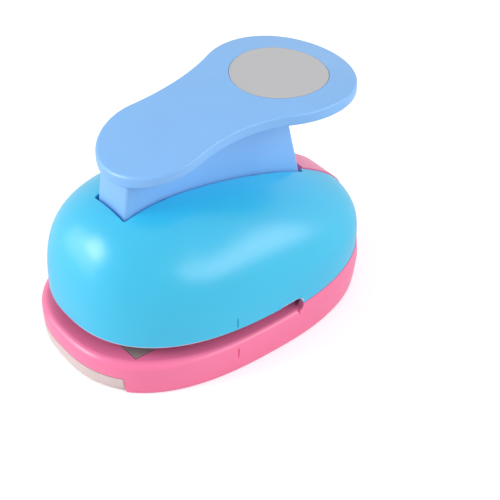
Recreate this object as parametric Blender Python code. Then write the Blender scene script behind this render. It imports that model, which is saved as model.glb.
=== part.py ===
"""Circle craft punch: a lever press that cuts round discs from paper and card.

Metres, +Z up. The paper goes in from the front (-Y), the thumb pad of the lever is at the
rear (+Y), and the origin is on the surface it stands on, below the middle of the punch.
"""

from math import acos, atan2, copysign, cos, hypot, pi, radians, sin, sqrt

import bmesh
import bpy
from mathutils import Vector

# Clearances and general values
GAP = 0.0003
OVERRUN = 0.004
MERGE = 0.00001
OVAL_STEPS = 56
TURN_STEPS = 20
SCREW_STEPS = 12
CUT_STEPS = 48

# The cut that the punch makes, and where; the sizes below build outwards from it
CUT_RADIUS = 0.0190
PUNCH_Y = -0.0148
OVAL_Y = -0.0014

# Steel die set in plan: die plate, spacer, guide plate
DIE_SIDE = 0.0046
DIE_NOSE = 0.0102
THROAT_REACH = 0.0075
SPACER_SETBACK = 0.0009
RIVET_SETBACK = 0.0079
DIE_TAIL = 0.0081
DIE_HALF_WIDTH = CUT_RADIUS + DIE_SIDE
DIE_FRONT_Y = PUNCH_Y - CUT_RADIUS - DIE_NOSE
THROAT_END_Y = PUNCH_Y + CUT_RADIUS + THROAT_REACH
SPACER_FRONT_Y = THROAT_END_Y + SPACER_SETBACK
RIVET_X = 0.0120
RIVET_Y = SPACER_FRONT_Y + RIVET_SETBACK
DIE_REAR_Y = RIVET_Y + DIE_TAIL
SPACER_SIDE = 0.0070
SPACER_HALF_WIDTH = RIVET_X + SPACER_SIDE
GUIDE_TAIL_HALF_WIDTH = SPACER_HALF_WIDTH
POST_CLEARANCE = 0.0055
POST_X = CUT_RADIUS + POST_CLEARANCE
GUIDE_SIDE = 0.0075
GUIDE_NOSE = 0.0106
GUIDE_SEAT = 0.0060
GUIDE_HALF_WIDTH = POST_X + GUIDE_SIDE
GUIDE_FRONT = OVAL_Y - PUNCH_Y + CUT_RADIUS + GUIDE_NOSE
GUIDE_REAR = SPACER_FRONT_Y - OVAL_Y + GUIDE_SEAT
GUIDE_EXPONENT = 2.6

# Lever pivot, web and slot in plan
PIVOT_REACH = 0.0170
PIVOT_Y = PUNCH_Y - PIVOT_REACH
PIVOT_PIN_RADIUS = 0.0020
PIVOT_BOSS_RADIUS = 0.0045
PIVOT_RIB_THICKNESS = 0.0030
PIVOT_RIB_FRONT = 0.0085
PIVOT_RIB_REAR = 0.0043
PIVOT_RIB_DROP = 0.0055
PIN_HEAD_RADIUS = 0.0033
PIN_HEAD_THICKNESS = 0.0010
WEB_HALF_WIDTH = 0.0075
WEB_WALL = 0.0020
WEB_FRONT_LEAN = 0.0005
WEB_FRONT_TOP_Y = PIVOT_Y - WEB_FRONT_LEAN
WEB_REAR_TOP_Y = 0.0266
WEB_REAR_LEAN = 0.0080
WEB_REAR_FOOT_Y = WEB_REAR_TOP_Y + WEB_REAR_LEAN
WEB_SPACE_DROP = 0.0030
WEB_TOP_STEPS = 6
WEB_BOSS_STEPS = 8
SLOT_SIDE_GAP = 0.0006
SLOT_FRONT_REACH = 0.0033
SLOT_FRONT_Y = PIVOT_Y - SLOT_FRONT_REACH
SLOT_REAR_Y = WEB_REAR_FOOT_Y + SLOT_SIDE_GAP

# Blue housing in plan
HOUSING_SIDE = 0.0059
HOUSING_NOSE = 0.0082
HOUSING_TAIL = 0.0198
DOME_HALF_WIDTH = GUIDE_HALF_WIDTH + HOUSING_SIDE
DOME_FRONT = GUIDE_FRONT + HOUSING_NOSE
DOME_REAR = SLOT_REAR_Y - OVAL_Y + HOUSING_TAIL
DOME_EXPONENT = 2.37

# Pink base in plan, as ovals about OVAL_Y: half width, reach to the front, reach to the rear
BELLY_SIDE = 0.0003
BELLY_NOSE = 0.0030
BELLY_REAR_TUCK = 0.0004
FOOT_SIDE_TUCK = 0.0012
FOOT_FRONT_TUCK = 0.0002
FOOT_REAR_TUCK = 0.0020
SEAM_TAIL = 0.0002
BELLY_HALF_WIDTH = DOME_HALF_WIDTH + BELLY_SIDE
BELLY_FRONT = DOME_FRONT + BELLY_NOSE
BELLY_REAR = DOME_REAR - BELLY_REAR_TUCK
FOOT_HALF_WIDTH = BELLY_HALF_WIDTH - FOOT_SIDE_TUCK
FOOT_FRONT = BELLY_FRONT - FOOT_FRONT_TUCK
FOOT_REAR = BELLY_REAR - FOOT_REAR_TUCK
SEAM_REAR = DOME_REAR + SEAM_TAIL
FOOT_CHAMFER = 0.0006
BELLY_EXPONENT = 2.5
DECK_INSET = 0.0014
DECK_EXPONENT = 2.35
BASE_WALL = 0.0022
DECK_THICKNESS = 0.0022

# Heights of base, deck, seam and paper throat
BELLY_HEIGHT = 0.0103
DECK_RISE = 0.0023
UPSTAND_RISE = 0.0019
BELT_RISE = 0.0015
THROAT_HEIGHT = 0.0046
THROAT_STEP = 0.0005
DECK_HEIGHT = BELLY_HEIGHT + DECK_RISE
SEAM_HEIGHT = DECK_HEIGHT + UPSTAND_RISE
DOME_BELT_HEIGHT = SEAM_HEIGHT + BELT_RISE
GUIDE_BOTTOM = DECK_HEIGHT + THROAT_HEIGHT
THROAT_TOP = GUIDE_BOTTOM + THROAT_STEP
THROAT_END_RADIUS = 0.0033

# Heights of pivot, web, housing and lever plate
PIVOT_RISE = 0.0193
WEB_FOOT_RISE = 0.0015
WEB_ARCH_RISE = 0.0040
WEB_ARCH_REACH = 0.0204
PIVOT_COVER = 0.0198
PLATE_RISE = 0.0178
PIVOT_Z = GUIDE_BOTTOM + PIVOT_RISE
WEB_REAR_FOOT_Z = PIVOT_Z + WEB_FOOT_RISE
DOME_CREST_HEIGHT = PIVOT_Z + PIVOT_COVER
PLATE_HEIGHT = DOME_CREST_HEIGHT + PLATE_RISE

# Curves of the housing
DOME_RIM_TUCK = 0.0004
DOME_CREST_Y = -0.0450
DOME_CREST_RADIUS = 0.2180
DOME_CROSS_RADIUS = 0.0650
DOME_FRONT_ROUND = 3.29
DOME_REAR_ROUND = 4.08
DOME_BLEND_START_SHARE = 0.25
DOME_BLEND_SPAN_SHARE = 0.30
DOME_WALL = 0.0020
DOME_ROWS = 9

# Lever plate and its disc
PLATE_FRONT_RADIUS = 0.0182
PLATE_FRONT_SETBACK = 0.0148
PLATE_FRONT_Y = PIVOT_Y + PLATE_FRONT_SETBACK
PLATE_REAR_RADIUS = 0.0251
PLATE_REAR_SETBACK = 0.0039
PLATE_REAR_Y = WEB_REAR_TOP_Y + PLATE_REAR_SETBACK
PLATE_FLANK_RADIUS = 0.0505
PLATE_SLOPE_SHARE = 0.123
PLATE_BEND_RADIUS = 0.1910
PLATE_THICKNESS = 0.0042
PLATE_EDGE_RADIUS = 0.0014
PLATE_CAP_STEPS = 12
PLATE_FLANK_STEPS = 7

BADGE_BORDER = 0.0093
BADGE_SETBACK = 0.0004
BADGE_RADIUS = PLATE_REAR_RADIUS - BADGE_BORDER
BADGE_Y = PLATE_REAR_Y + BADGE_SETBACK
BADGE_THICKNESS = 0.0007
BADGE_PROUD = 0.0001
BADGE_STEPS = 40

# Roller in the lever, pressing on the ram
ROLLER_RADIUS = 0.0040
ROLLER_PIN_RADIUS = 0.0015
ROLLER_ARM = 0.0196
ROLLER_REST_ANGLE = 8.0
ROLLER_CHEEK = 0.0028
ROLLER_CHEEK_REACH = 0.0040

# Steel die set: thicknesses and rivets
DIE_THICKNESS = 0.0024
LEDGE_THICKNESS = 0.0019
LEDGE_MARGIN = 0.0022
GUIDE_THICKNESS = 0.0020
RIVET_RADIUS = 0.0022
RIVET_HEAD_RADIUS = 0.0033
RIVET_HEAD_THICKNESS = 0.0014

# Ram: cutter, pressure plate, wear pad, guide posts and springs
CUTTER_LIFT = 0.0003
CUTTER_EDGE = 0.0025
CUTTER_HOLLOW_RADIUS = CUT_RADIUS - CUTTER_EDGE
CUTTER_HOLLOW_DEPTH = 0.0015
PRESSURE_THICKNESS = 0.0028
PRESSURE_HALF_WIDTH = 0.0080
PRESSURE_END = 0.0060
PRESSURE_HALF_LENGTH = POST_X + PRESSURE_END
PAD_THICKNESS = 0.0019
PAD_HALF_X = 0.0048
PAD_HALF_Y = 0.0060
POST_RADIUS = 0.0020
POST_GROOVE_DEPTH = 0.0005
POST_TIP = 0.0014
CLIP_THICKNESS = 0.0008
CLIP_RADIUS = 0.0040
SPRING_RADIUS = 0.0032
SPRING_WIRE_RADIUS = 0.0005
SPRING_TURNS = 4
SPRING_POINTS_PER_TURN = 11
SPRING_SIDES = 6
PUNCH_SCREW_BORDER = 0.0070
PUNCH_SCREW_X = CUT_RADIUS - PUNCH_SCREW_BORDER
PUNCH_SCREW_DEPTH_SHARE = 0.66

# Screws: radius of the head, its height, radius of the shank
SCREW_HEAD_RADIUS = 0.0024
SCREW_HEAD_HEIGHT = 0.0013
SCREW_SHANK_RADIUS = 0.0012
PLATE_SCREW_HEAD_HEIGHT = 0.0008
PLATE_SCREW_FRONT_BORDER = 0.0060
PLATE_SCREW_REAR_BORDER = 0.0050
PLATE_SCREW_FRONT_REACH = 0.0122
PLATE_SCREW_REAR_REACH = 0.0148
PLATE_SCREW_FRONT_X = GUIDE_HALF_WIDTH - PLATE_SCREW_FRONT_BORDER
PLATE_SCREW_FRONT_Y = PUNCH_Y - PLATE_SCREW_FRONT_REACH
PLATE_SCREW_REAR_X = GUIDE_HALF_WIDTH - PLATE_SCREW_REAR_BORDER
PLATE_SCREW_REAR_Y = PUNCH_Y + PLATE_SCREW_REAR_REACH
PLATE_SCREW_LENGTH = 0.0080
PLATE_BOSS_RADIUS = 0.0033
HOUSING_SCREW_FRONT_BORDER = 0.0087
HOUSING_SCREW_REAR_BORDER = 0.0144
HOUSING_SCREW_SETBACK = 0.0058
HOUSING_SCREW_TAIL = 0.0220
HOUSING_SCREW_FRONT_X = DOME_HALF_WIDTH - HOUSING_SCREW_FRONT_BORDER
HOUSING_SCREW_FRONT_Y = THROAT_END_Y + HOUSING_SCREW_SETBACK
HOUSING_SCREW_REAR_X = DOME_HALF_WIDTH - HOUSING_SCREW_REAR_BORDER
HOUSING_SCREW_REAR_Y = OVAL_Y + DOME_REAR - HOUSING_SCREW_TAIL
HOUSING_SCREW_LENGTH = 0.0180
HOUSING_BOSS_RADIUS = 0.0036
BASE_BOSS_RADIUS = 0.0040
BASE_BOSS_LIFT = 0.0025
BASE_BOSS_BORE_DEPTH = 0.0050

# Heights and places that follow from the values above
DIE_TOP = DECK_HEIGHT
DIE_BOTTOM = DIE_TOP - DIE_THICKNESS
POCKET_FLOOR = DIE_BOTTOM - GAP
LEDGE_BOTTOM = POCKET_FLOOR - LEDGE_THICKNESS
CAVITY_TOP = DECK_HEIGHT - DECK_THICKNESS
GUIDE_TOP = GUIDE_BOTTOM + GUIDE_THICKNESS
HOUSING_BOTTOM = SEAM_HEIGHT + GAP
ROLLER_Y = PIVOT_Y + ROLLER_ARM * cos(radians(ROLLER_REST_ANGLE))
ROLLER_Z = PIVOT_Z + ROLLER_ARM * sin(radians(ROLLER_REST_ANGLE))
WEB_RISE_Y = ROLLER_Y + WEB_ARCH_REACH
WEB_RISE_Z = PIVOT_Z + WEB_ARCH_RISE
PAD_TOP = ROLLER_Z - ROLLER_RADIUS - GAP
PRESSURE_TOP = PAD_TOP - PAD_THICKNESS - GAP
PRESSURE_BOTTOM = PRESSURE_TOP - PRESSURE_THICKNESS
CUTTER_BOTTOM = GUIDE_BOTTOM + CUTTER_LIFT
CUTTER_TOP = PRESSURE_BOTTOM - GAP
CUTTER_HEIGHT = CUTTER_TOP - CUTTER_BOTTOM
PUNCH_SCREW_DEPTH = CUTTER_HEIGHT * PUNCH_SCREW_DEPTH_SHARE
WEB_INNER = WEB_HALF_WIDTH - WEB_WALL
SLOT_HALF_WIDTH = WEB_HALF_WIDTH + SLOT_SIDE_GAP
RIB_INNER_X = SLOT_HALF_WIDTH + GAP
RIB_OUTER_X = RIB_INNER_X + PIVOT_RIB_THICKNESS

# Catch tray and its rails
TRAY_SIDE = 0.0022
TRAY_TAIL = 0.0038
TRAY_HEADROOM = 0.0020
TRAY_LIP_SIDE = 0.0017
TRAY_LIFT = 0.0004
TRAY_TOP = LEDGE_BOTTOM - TRAY_HEADROOM
TRAY_FLOOR = 0.0012
TRAY_WALL = 0.0010
TRAY_HALF_WIDTH = CUT_RADIUS + TRAY_SIDE
TRAY_LIP_HALF_WIDTH = TRAY_HALF_WIDTH + TRAY_LIP_SIDE
TRAY_LIP_THICKNESS = 0.0018
TRAY_REAR_Y = PUNCH_Y + CUT_RADIUS + TRAY_TAIL
TRAY_FLANGE = 0.0014
TRAY_FLANGE_THICKNESS = 0.0010
TRAY_FLANGE_HEIGHT = 0.0022
TRAY_OPENING = TRAY_LIP_HALF_WIDTH + GAP
RAIL_THICKNESS = 0.0030
RAIL_LIFT = 0.0008
RAIL_SETBACK = 0.0010
RAIL_FRONT_Y = DIE_FRONT_Y + RAIL_SETBACK
RAIL_STOP_THICKNESS = 0.0016

# Pink spine that runs up the middle of the housing's rear
SPINE_HALF_WIDTH = 0.0060
SPINE_THICKNESS = 0.0020
SPINE_STEPS = 12

# Centre marks on both flanks, in line with the cut
MARK_WIDTH = 0.0005
MARK_DEPTH = 0.0004
DOME_MARK_RISE = 0.0029
DOME_MARK_LENGTH = 0.0035
BASE_MARK_LENGTH = 0.0040
DOME_MARK_LOW = DOME_BELT_HEIGHT + DOME_MARK_RISE
DOME_MARK_HIGH = DOME_MARK_LOW + DOME_MARK_LENGTH
BASE_MARK_HIGH = BELLY_HEIGHT
BASE_MARK_LOW = BASE_MARK_HIGH - BASE_MARK_LENGTH
MARK_REACH_SHARE = 0.985

BASE_CUTS = ((1, HOUSING_SCREW_FRONT_X, HOUSING_SCREW_FRONT_Y),
             (-1, HOUSING_SCREW_FRONT_X, HOUSING_SCREW_FRONT_Y),
             (1, HOUSING_SCREW_REAR_X, HOUSING_SCREW_REAR_Y),
             (-1, HOUSING_SCREW_REAR_X, HOUSING_SCREW_REAR_Y))
PLATE_SCREWS = ((1, PLATE_SCREW_FRONT_X, PLATE_SCREW_FRONT_Y),
                (-1, PLATE_SCREW_FRONT_X, PLATE_SCREW_FRONT_Y),
                (1, PLATE_SCREW_REAR_X, PLATE_SCREW_REAR_Y),
                (-1, PLATE_SCREW_REAR_X, PLATE_SCREW_REAR_Y))


def clear_scene():
    """Removes whatever the file opened with."""
    for obj in list(bpy.data.objects):
        bpy.data.objects.remove(obj, do_unlink=True)


def material(name, color, roughness, metallic=0.0, alpha=1.0):
    """A Principled material; the colour is linear RGB."""
    mat = bpy.data.materials.new(name)
    mat.use_nodes = True
    shader = mat.node_tree.nodes["Principled BSDF"]
    shader.inputs["Base Color"].default_value = (*color, 1.0)
    shader.inputs["Roughness"].default_value = roughness
    shader.inputs["Metallic"].default_value = metallic
    shader.inputs["Alpha"].default_value = alpha
    return mat


def add_object(name, bm, mat=None, smooth=True):
    """Turns a bmesh into an object with flat or smooth faces."""
    mesh = bpy.data.meshes.new(name)
    bm.to_mesh(mesh)
    bm.free()
    obj = bpy.data.objects.new(name, mesh)
    bpy.context.collection.objects.link(obj)
    if mat is not None:
        mesh.materials.append(mat)
    if smooth:
        mesh.shade_smooth()
        mesh.set_sharp_from_angle(angle=radians(30.0))
    return obj


def combine(target, tool, operation):
    """Adds a Boolean to the target and hides the tool it uses."""
    mod = target.modifiers.new(tool.name, "BOOLEAN")
    mod.operation = operation
    mod.solver = "EXACT"
    mod.object = tool
    tool.hide_render = True
    tool.display_type = "WIRE"


def fill_across(bm, ring, upward):
    """Closes a ring that mirrors across X with strips that run from side to side."""
    count = len(ring)
    for i in range(count // 2):
        quad = [ring[i], ring[i + 1], ring[(count - i - 1) % count], ring[(count - i) % count]]
        corners = []
        for vert in quad:
            if vert not in corners:
                corners.append(vert)
        bm.faces.new(corners if upward else corners[::-1])


def skin(bm, rings):
    """Joins rings of points, lowest first, into walls; returns the rings of vertices."""
    made = [[bm.verts.new(point) for point in ring] for ring in rings]
    for low, high in zip(made, made[1:]):
        count = len(low)
        for i in range(count):
            j = (i + 1) % count
            bm.faces.new((low[i], low[j], high[j], high[i]))
    return made


def solid(name, rings, mat=None, smooth=True):
    """A closed body through mirrored rings, lowest ring first."""
    bm = bmesh.new()
    made = skin(bm, rings)
    fill_across(bm, made[0], False)
    fill_across(bm, made[-1], True)
    return add_object(name, bm, mat, smooth)


def oval(half_width, front, rear, exponent, z, steps=OVAL_STEPS):
    """Points of an egg-shaped oval about OVAL_Y, from its front tip round by +X."""
    points = []
    for i in range(steps):
        turn = 2 * pi * i / steps - pi / 2
        across, along = cos(turn), sin(turn)
        x = copysign(abs(across) ** (2 / exponent), across) * half_width
        y = copysign(abs(along) ** (2 / exponent), along) * (front if along < 0 else rear)
        points.append(Vector((x, OVAL_Y + y, z)))
    return points


def blocks(name, boxes, mat=None):
    """One mesh of separate boxes, each given as low and high corners."""
    bm = bmesh.new()
    for low, high in boxes:
        size = [b - a for a, b in zip(low, high)]
        middle = [(a + b) / 2 for a, b in zip(low, high)]
        made = bmesh.ops.create_cube(bm, size=1.0)["verts"]
        bmesh.ops.scale(bm, vec=size, verts=made)
        bmesh.ops.translate(bm, vec=middle, verts=made)
    return add_object(name, bm, mat, smooth=False)


def rods(name, columns, mat=None, steps=TURN_STEPS):
    """One mesh of upright cylinders, each given as x, y, radius, low z, high z."""
    bm = bmesh.new()
    for x, y, radius, low, high in columns:
        made = bmesh.ops.create_cone(bm, cap_ends=True, segments=steps, radius1=radius,
                                     radius2=radius, depth=high - low)["verts"]
        bmesh.ops.translate(bm, vec=(x, y, (low + high) / 2), verts=made)
    return add_object(name, bm, mat)


def turned(name, profile, mat=None, steps=TURN_STEPS, closed=False):
    """Spins radius and height pairs round Z."""
    bm = bmesh.new()
    verts = [bm.verts.new((radius, 0, height)) for radius, height in profile]
    edges = [bm.edges.new(pair) for pair in zip(verts, verts[1:])]
    if closed:
        edges.append(bm.edges.new((verts[-1], verts[0])))
    bmesh.ops.spin(bm, geom=verts + edges, cent=(0, 0, 0), axis=(0, 0, 1), angle=2 * pi,
                   steps=steps, use_merge=True)
    bmesh.ops.remove_doubles(bm, verts=bm.verts, dist=MERGE)
    bmesh.ops.recalc_face_normals(bm, faces=bm.faces)
    return add_object(name, bm, mat)


def lay_across(obj, y, z, x=0.0):
    """Turns an upright round piece so that its axis runs along +X."""
    obj.rotation_euler = (0, pi / 2, 0)
    obj.location = (x, y, z)


def extruded(name, outline, half_width, mat=None, smooth=True):
    """An outline of y and z pairs, carried from -X to +X."""
    bm = bmesh.new()
    left = [bm.verts.new((-half_width, y, z)) for y, z in outline]
    face = bm.faces.new(left)
    made = bmesh.ops.extrude_face_region(bm, geom=[face])["geom"]
    moved = [item for item in made if isinstance(item, bmesh.types.BMVert)]
    bmesh.ops.translate(bm, vec=(2 * half_width, 0, 0), verts=moved)
    bmesh.ops.recalc_face_normals(bm, faces=bm.faces)
    return add_object(name, bm, mat, smooth)


def dome_point(turn, level, inset):
    """A point on the housing's skin; level 0 is the belt and pi/2 the crown."""
    half_width = DOME_HALF_WIDTH - inset
    across, along = cos(turn), sin(turn)
    reach = (DOME_FRONT if along < 0 else DOME_REAR) - inset
    x = copysign(abs(across) ** (2 / DOME_EXPONENT), across) * half_width
    y = copysign(abs(along) ** (2 / DOME_EXPONENT), along) * reach
    share = ((1 + along) / 2 - DOME_BLEND_START_SHARE) / DOME_BLEND_SPAN_SHARE
    share = min(max(share, 0.0), 1.0)
    share = share * share * (3 - 2 * share)
    power = DOME_FRONT_ROUND + (DOME_REAR_ROUND - DOME_FRONT_ROUND) * share
    flat, rise = abs(cos(level)), abs(sin(level))
    norm = (flat ** power + rise ** power) ** (1 / power)
    x, y = x * flat / norm, y * flat / norm
    top = (DOME_CREST_HEIGHT - inset - (y - DOME_CREST_Y) ** 2 / (2 * DOME_CREST_RADIUS)
           - x ** 2 / (2 * DOME_CROSS_RADIUS))
    z = DOME_BELT_HEIGHT + (top - DOME_BELT_HEIGHT) * rise / norm
    return Vector((x, OVAL_Y + y, z))


def dome_body(name, inset, bottom, tuck, mat=None, rows=DOME_ROWS):
    """The housing's outer form, or with an inset the space inside it, as a closed body."""
    turns = [2 * pi * i / OVAL_STEPS - pi / 2 for i in range(OVAL_STEPS)]
    belt = [dome_point(turn, 0.0, inset) for turn in turns]
    rim = oval(DOME_HALF_WIDTH - inset - tuck, DOME_FRONT - inset - tuck,
               DOME_REAR - inset - tuck, DOME_EXPONENT, bottom)
    rings = [rim, belt]
    for row in range(1, rows):
        level = pi / 2 * row / rows
        rings.append([dome_point(turn, level, inset) for turn in turns])
    bm = bmesh.new()
    made = skin(bm, rings)
    fill_across(bm, made[0], False)
    crown = bm.verts.new(dome_point(0.0, pi / 2, inset))
    last = made[-1]
    for i in range(OVAL_STEPS):
        bm.faces.new((last[i], last[(i + 1) % OVAL_STEPS], crown))
    return add_object(name, bm, mat)


def screw(name, x, y, head_bottom, length, mat, head_height=SCREW_HEAD_HEIGHT):
    """A cheese head screw, head down, with its tip pointing up."""
    profile = [(0, head_bottom), (SCREW_HEAD_RADIUS, head_bottom),
               (SCREW_HEAD_RADIUS, head_bottom + head_height),
               (SCREW_SHANK_RADIUS, head_bottom + head_height),
               (SCREW_SHANK_RADIUS, head_bottom + head_height + length),
               (0, head_bottom + head_height + length)]
    obj = turned(name, profile, mat, steps=SCREW_STEPS)
    obj.location = (x, y, 0)
    return obj


def base_outer(name, inset, bottom, mat=None):
    """The base's outer form up to the deck, drawn in by the inset."""
    foot = (FOOT_HALF_WIDTH - inset, FOOT_FRONT - inset, FOOT_REAR - inset)
    belly = (BELLY_HALF_WIDTH - inset, BELLY_FRONT - inset, BELLY_REAR - inset)
    rings = [oval(*[size - FOOT_CHAMFER for size in foot], BELLY_EXPONENT, bottom),
             oval(*foot, BELLY_EXPONENT, bottom + FOOT_CHAMFER)]
    for share in (0.5, 1.0):
        sizes = [a + (b - a) * sqrt(share) for a, b in zip(foot, belly)]
        rings.append(oval(*sizes, BELLY_EXPONENT, BELLY_HEIGHT * share))
    for turn in (30.0, 60.0, 90.0):
        pull = DECK_INSET * (1 - cos(radians(turn)))
        lift = (DECK_HEIGHT - BELLY_HEIGHT) * sin(radians(turn))
        share = turn / 90.0
        power = BELLY_EXPONENT + (DECK_EXPONENT - BELLY_EXPONENT) * share
        rings.append(oval(*[size - pull for size in belly], power, BELLY_HEIGHT + lift))
    return solid(name, rings, mat)


def slab(name, half_width, front, rear, exponent, low, high, mat=None):
    """A flat oval body between two heights."""
    sizes = (half_width, front, rear, exponent)
    return solid(name, [oval(*sizes, low), oval(*sizes, high)], mat)


def spine_outline():
    """Side outline of the spine: the housing's rear curve and the same curve set inwards."""
    outer, inner = [], []
    for step in range(SPINE_STEPS * 3):
        level = pi / 2 * step / (SPINE_STEPS * 3)
        point = dome_point(pi / 2, level, 0.0)
        if point.y > SLOT_REAR_Y + GAP:
            outer.append((point.y, point.z))
            below = dome_point(pi / 2, level, SPINE_THICKNESS)
            inner.append((below.y, below.z))
    foot = DECK_HEIGHT - DECK_THICKNESS / 2
    outer.insert(0, (OVAL_Y + SEAM_REAR - GAP, foot))
    inner.insert(0, (OVAL_Y + SEAM_REAR - SPINE_THICKNESS, foot))
    return outer + inner[::-1]


def build_base(mat):
    """The base: outer form and rear upstand, less the space under the deck and its cuts."""
    base = base_outer("base_shell", 0.0, 0.0, mat)

    upstand = solid("upstand_form", [
        oval(BELLY_HALF_WIDTH, BELLY_FRONT, BELLY_REAR, BELLY_EXPONENT, BELLY_HEIGHT),
        oval(DOME_HALF_WIDTH, DOME_FRONT, SEAM_REAR, DOME_EXPONENT, SEAM_HEIGHT)])
    combine(upstand, blocks("upstand_front_cut", [(
        (-BELLY_HALF_WIDTH - OVERRUN, -FOOT_FRONT - OVERRUN, 0),
        (BELLY_HALF_WIDTH + OVERRUN, THROAT_END_Y, SEAM_HEIGHT + OVERRUN))]), "DIFFERENCE")
    combine(base, upstand, "UNION")

    above = slab("upstand_space", DOME_HALF_WIDTH - BASE_WALL, DOME_FRONT - BASE_WALL,
                 SEAM_REAR - BASE_WALL, DOME_EXPONENT, DECK_HEIGHT, SEAM_HEIGHT + OVERRUN)
    combine(above, rods("deck_bosses", [
        (side * x, y, BASE_BOSS_RADIUS, DECK_HEIGHT - DECK_THICKNESS, SEAM_HEIGHT)
        for side, x, y in BASE_CUTS]), "DIFFERENCE")
    combine(base, above, "DIFFERENCE")

    space = slab("base_space", FOOT_HALF_WIDTH - BASE_WALL, FOOT_FRONT - BASE_WALL,
                 FOOT_REAR - BASE_WALL, BELLY_EXPONENT, -OVERRUN, CAVITY_TOP)
    ledge = blocks("die_ledge", [(
        (-DIE_HALF_WIDTH - LEDGE_MARGIN, DIE_FRONT_Y - LEDGE_MARGIN, LEDGE_BOTTOM),
        (DIE_HALF_WIDTH + LEDGE_MARGIN, DIE_REAR_Y + LEDGE_MARGIN, CAVITY_TOP + OVERRUN))])
    combine(space, ledge, "DIFFERENCE")
    rail_in = TRAY_HALF_WIDTH + GAP
    rail_out = rail_in + RAIL_THICKNESS
    stop = TRAY_REAR_Y + GAP
    rails = blocks("tray_rails", [((-rail_out, RAIL_FRONT_Y, RAIL_LIFT),
                                   (rail_out, stop + RAIL_STOP_THICKNESS, CAVITY_TOP + OVERRUN))])
    combine(rails, blocks("rail_space", [((-rail_in, RAIL_FRONT_Y - OVERRUN, 0),
                                          (rail_in, stop, LEDGE_BOTTOM))]), "DIFFERENCE")
    combine(space, rails, "DIFFERENCE")
    combine(space, rods("base_bosses", [
        (side * x, y, BASE_BOSS_RADIUS, BASE_BOSS_LIFT, CAVITY_TOP + OVERRUN)
        for side, x, y in BASE_CUTS]), "DIFFERENCE")
    combine(base, space, "DIFFERENCE")

    bore_top = BASE_BOSS_LIFT + BASE_BOSS_BORE_DEPTH
    combine(base, rods("boss_bores", [
        (side * x, y, SCREW_HEAD_RADIUS + GAP, -OVERRUN, bore_top)
        for side, x, y in BASE_CUTS]), "DIFFERENCE")
    combine(base, rods("boss_holes", [
        (side * x, y, SCREW_SHANK_RADIUS + GAP, 0, SEAM_HEIGHT + OVERRUN)
        for side, x, y in BASE_CUTS], steps=SCREW_STEPS), "DIFFERENCE")
    window = CUT_RADIUS + LEDGE_MARGIN
    combine(base, blocks("die_pocket", [(
        (-DIE_HALF_WIDTH - GAP, DIE_FRONT_Y - GAP, POCKET_FLOOR),
        (DIE_HALF_WIDTH + GAP, DIE_REAR_Y + GAP, DECK_HEIGHT + OVERRUN))]), "DIFFERENCE")
    combine(base, blocks("chip_window", [(
        (-window, PUNCH_Y - window, 0), (window, PUNCH_Y + window, DECK_HEIGHT))]),
        "DIFFERENCE")
    combine(base, rods("rivet_holes", [
        (side * RIVET_X, RIVET_Y, RIVET_HEAD_RADIUS + GAP, 0, DECK_HEIGHT)
        for side in (-1, 1)]), "DIFFERENCE")

    groove_low = TRAY_LIFT + TRAY_FLANGE_HEIGHT - GAP
    groove_high = groove_low + TRAY_FLANGE_THICKNESS + 2 * GAP
    groove_out = TRAY_HALF_WIDTH + TRAY_FLANGE + GAP
    front = -FOOT_FRONT - OVERRUN
    combine(base, blocks("tray_opening", [(
        (-TRAY_OPENING, front, -OVERRUN),
        (TRAY_OPENING, RAIL_FRONT_Y, TRAY_TOP + GAP))]), "DIFFERENCE")
    combine(base, blocks("tray_grooves", [
        ((-groove_out, RAIL_FRONT_Y - OVERRUN, groove_low), (-TRAY_HALF_WIDTH, stop, groove_high)),
        ((TRAY_HALF_WIDTH, RAIL_FRONT_Y - OVERRUN, groove_low), (groove_out, stop, groove_high))]),
        "DIFFERENCE")
    combine(base, blocks("base_marks", [
        ((BELLY_HALF_WIDTH * MARK_REACH_SHARE - MARK_DEPTH, PUNCH_Y - MARK_WIDTH / 2,
          BASE_MARK_LOW),
         (BELLY_HALF_WIDTH + OVERRUN, PUNCH_Y + MARK_WIDTH / 2, BASE_MARK_HIGH)),
        ((-BELLY_HALF_WIDTH - OVERRUN, PUNCH_Y - MARK_WIDTH / 2, BASE_MARK_LOW),
         (MARK_DEPTH - BELLY_HALF_WIDTH * MARK_REACH_SHARE, PUNCH_Y + MARK_WIDTH / 2,
          BASE_MARK_HIGH))]), "DIFFERENCE")
    combine(base, extruded("spine_form", spine_outline(), SPINE_HALF_WIDTH), "UNION")
    return base


def throat_outline():
    """Side outline of the paper throat: open to the front, rounded at its upper end."""
    floor = DECK_HEIGHT - OVERRUN
    outline = [(-FOOT_FRONT - OVERRUN, floor), (THROAT_END_Y, floor)]
    centre_y = THROAT_END_Y - THROAT_END_RADIUS
    centre_z = THROAT_TOP - THROAT_END_RADIUS
    for step in range(5):
        turn = radians(90.0) * step / 4
        outline.append((centre_y + THROAT_END_RADIUS * cos(turn),
                        centre_z + THROAT_END_RADIUS * sin(turn)))
    outline.append((-FOOT_FRONT - OVERRUN, THROAT_TOP))
    return outline


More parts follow.
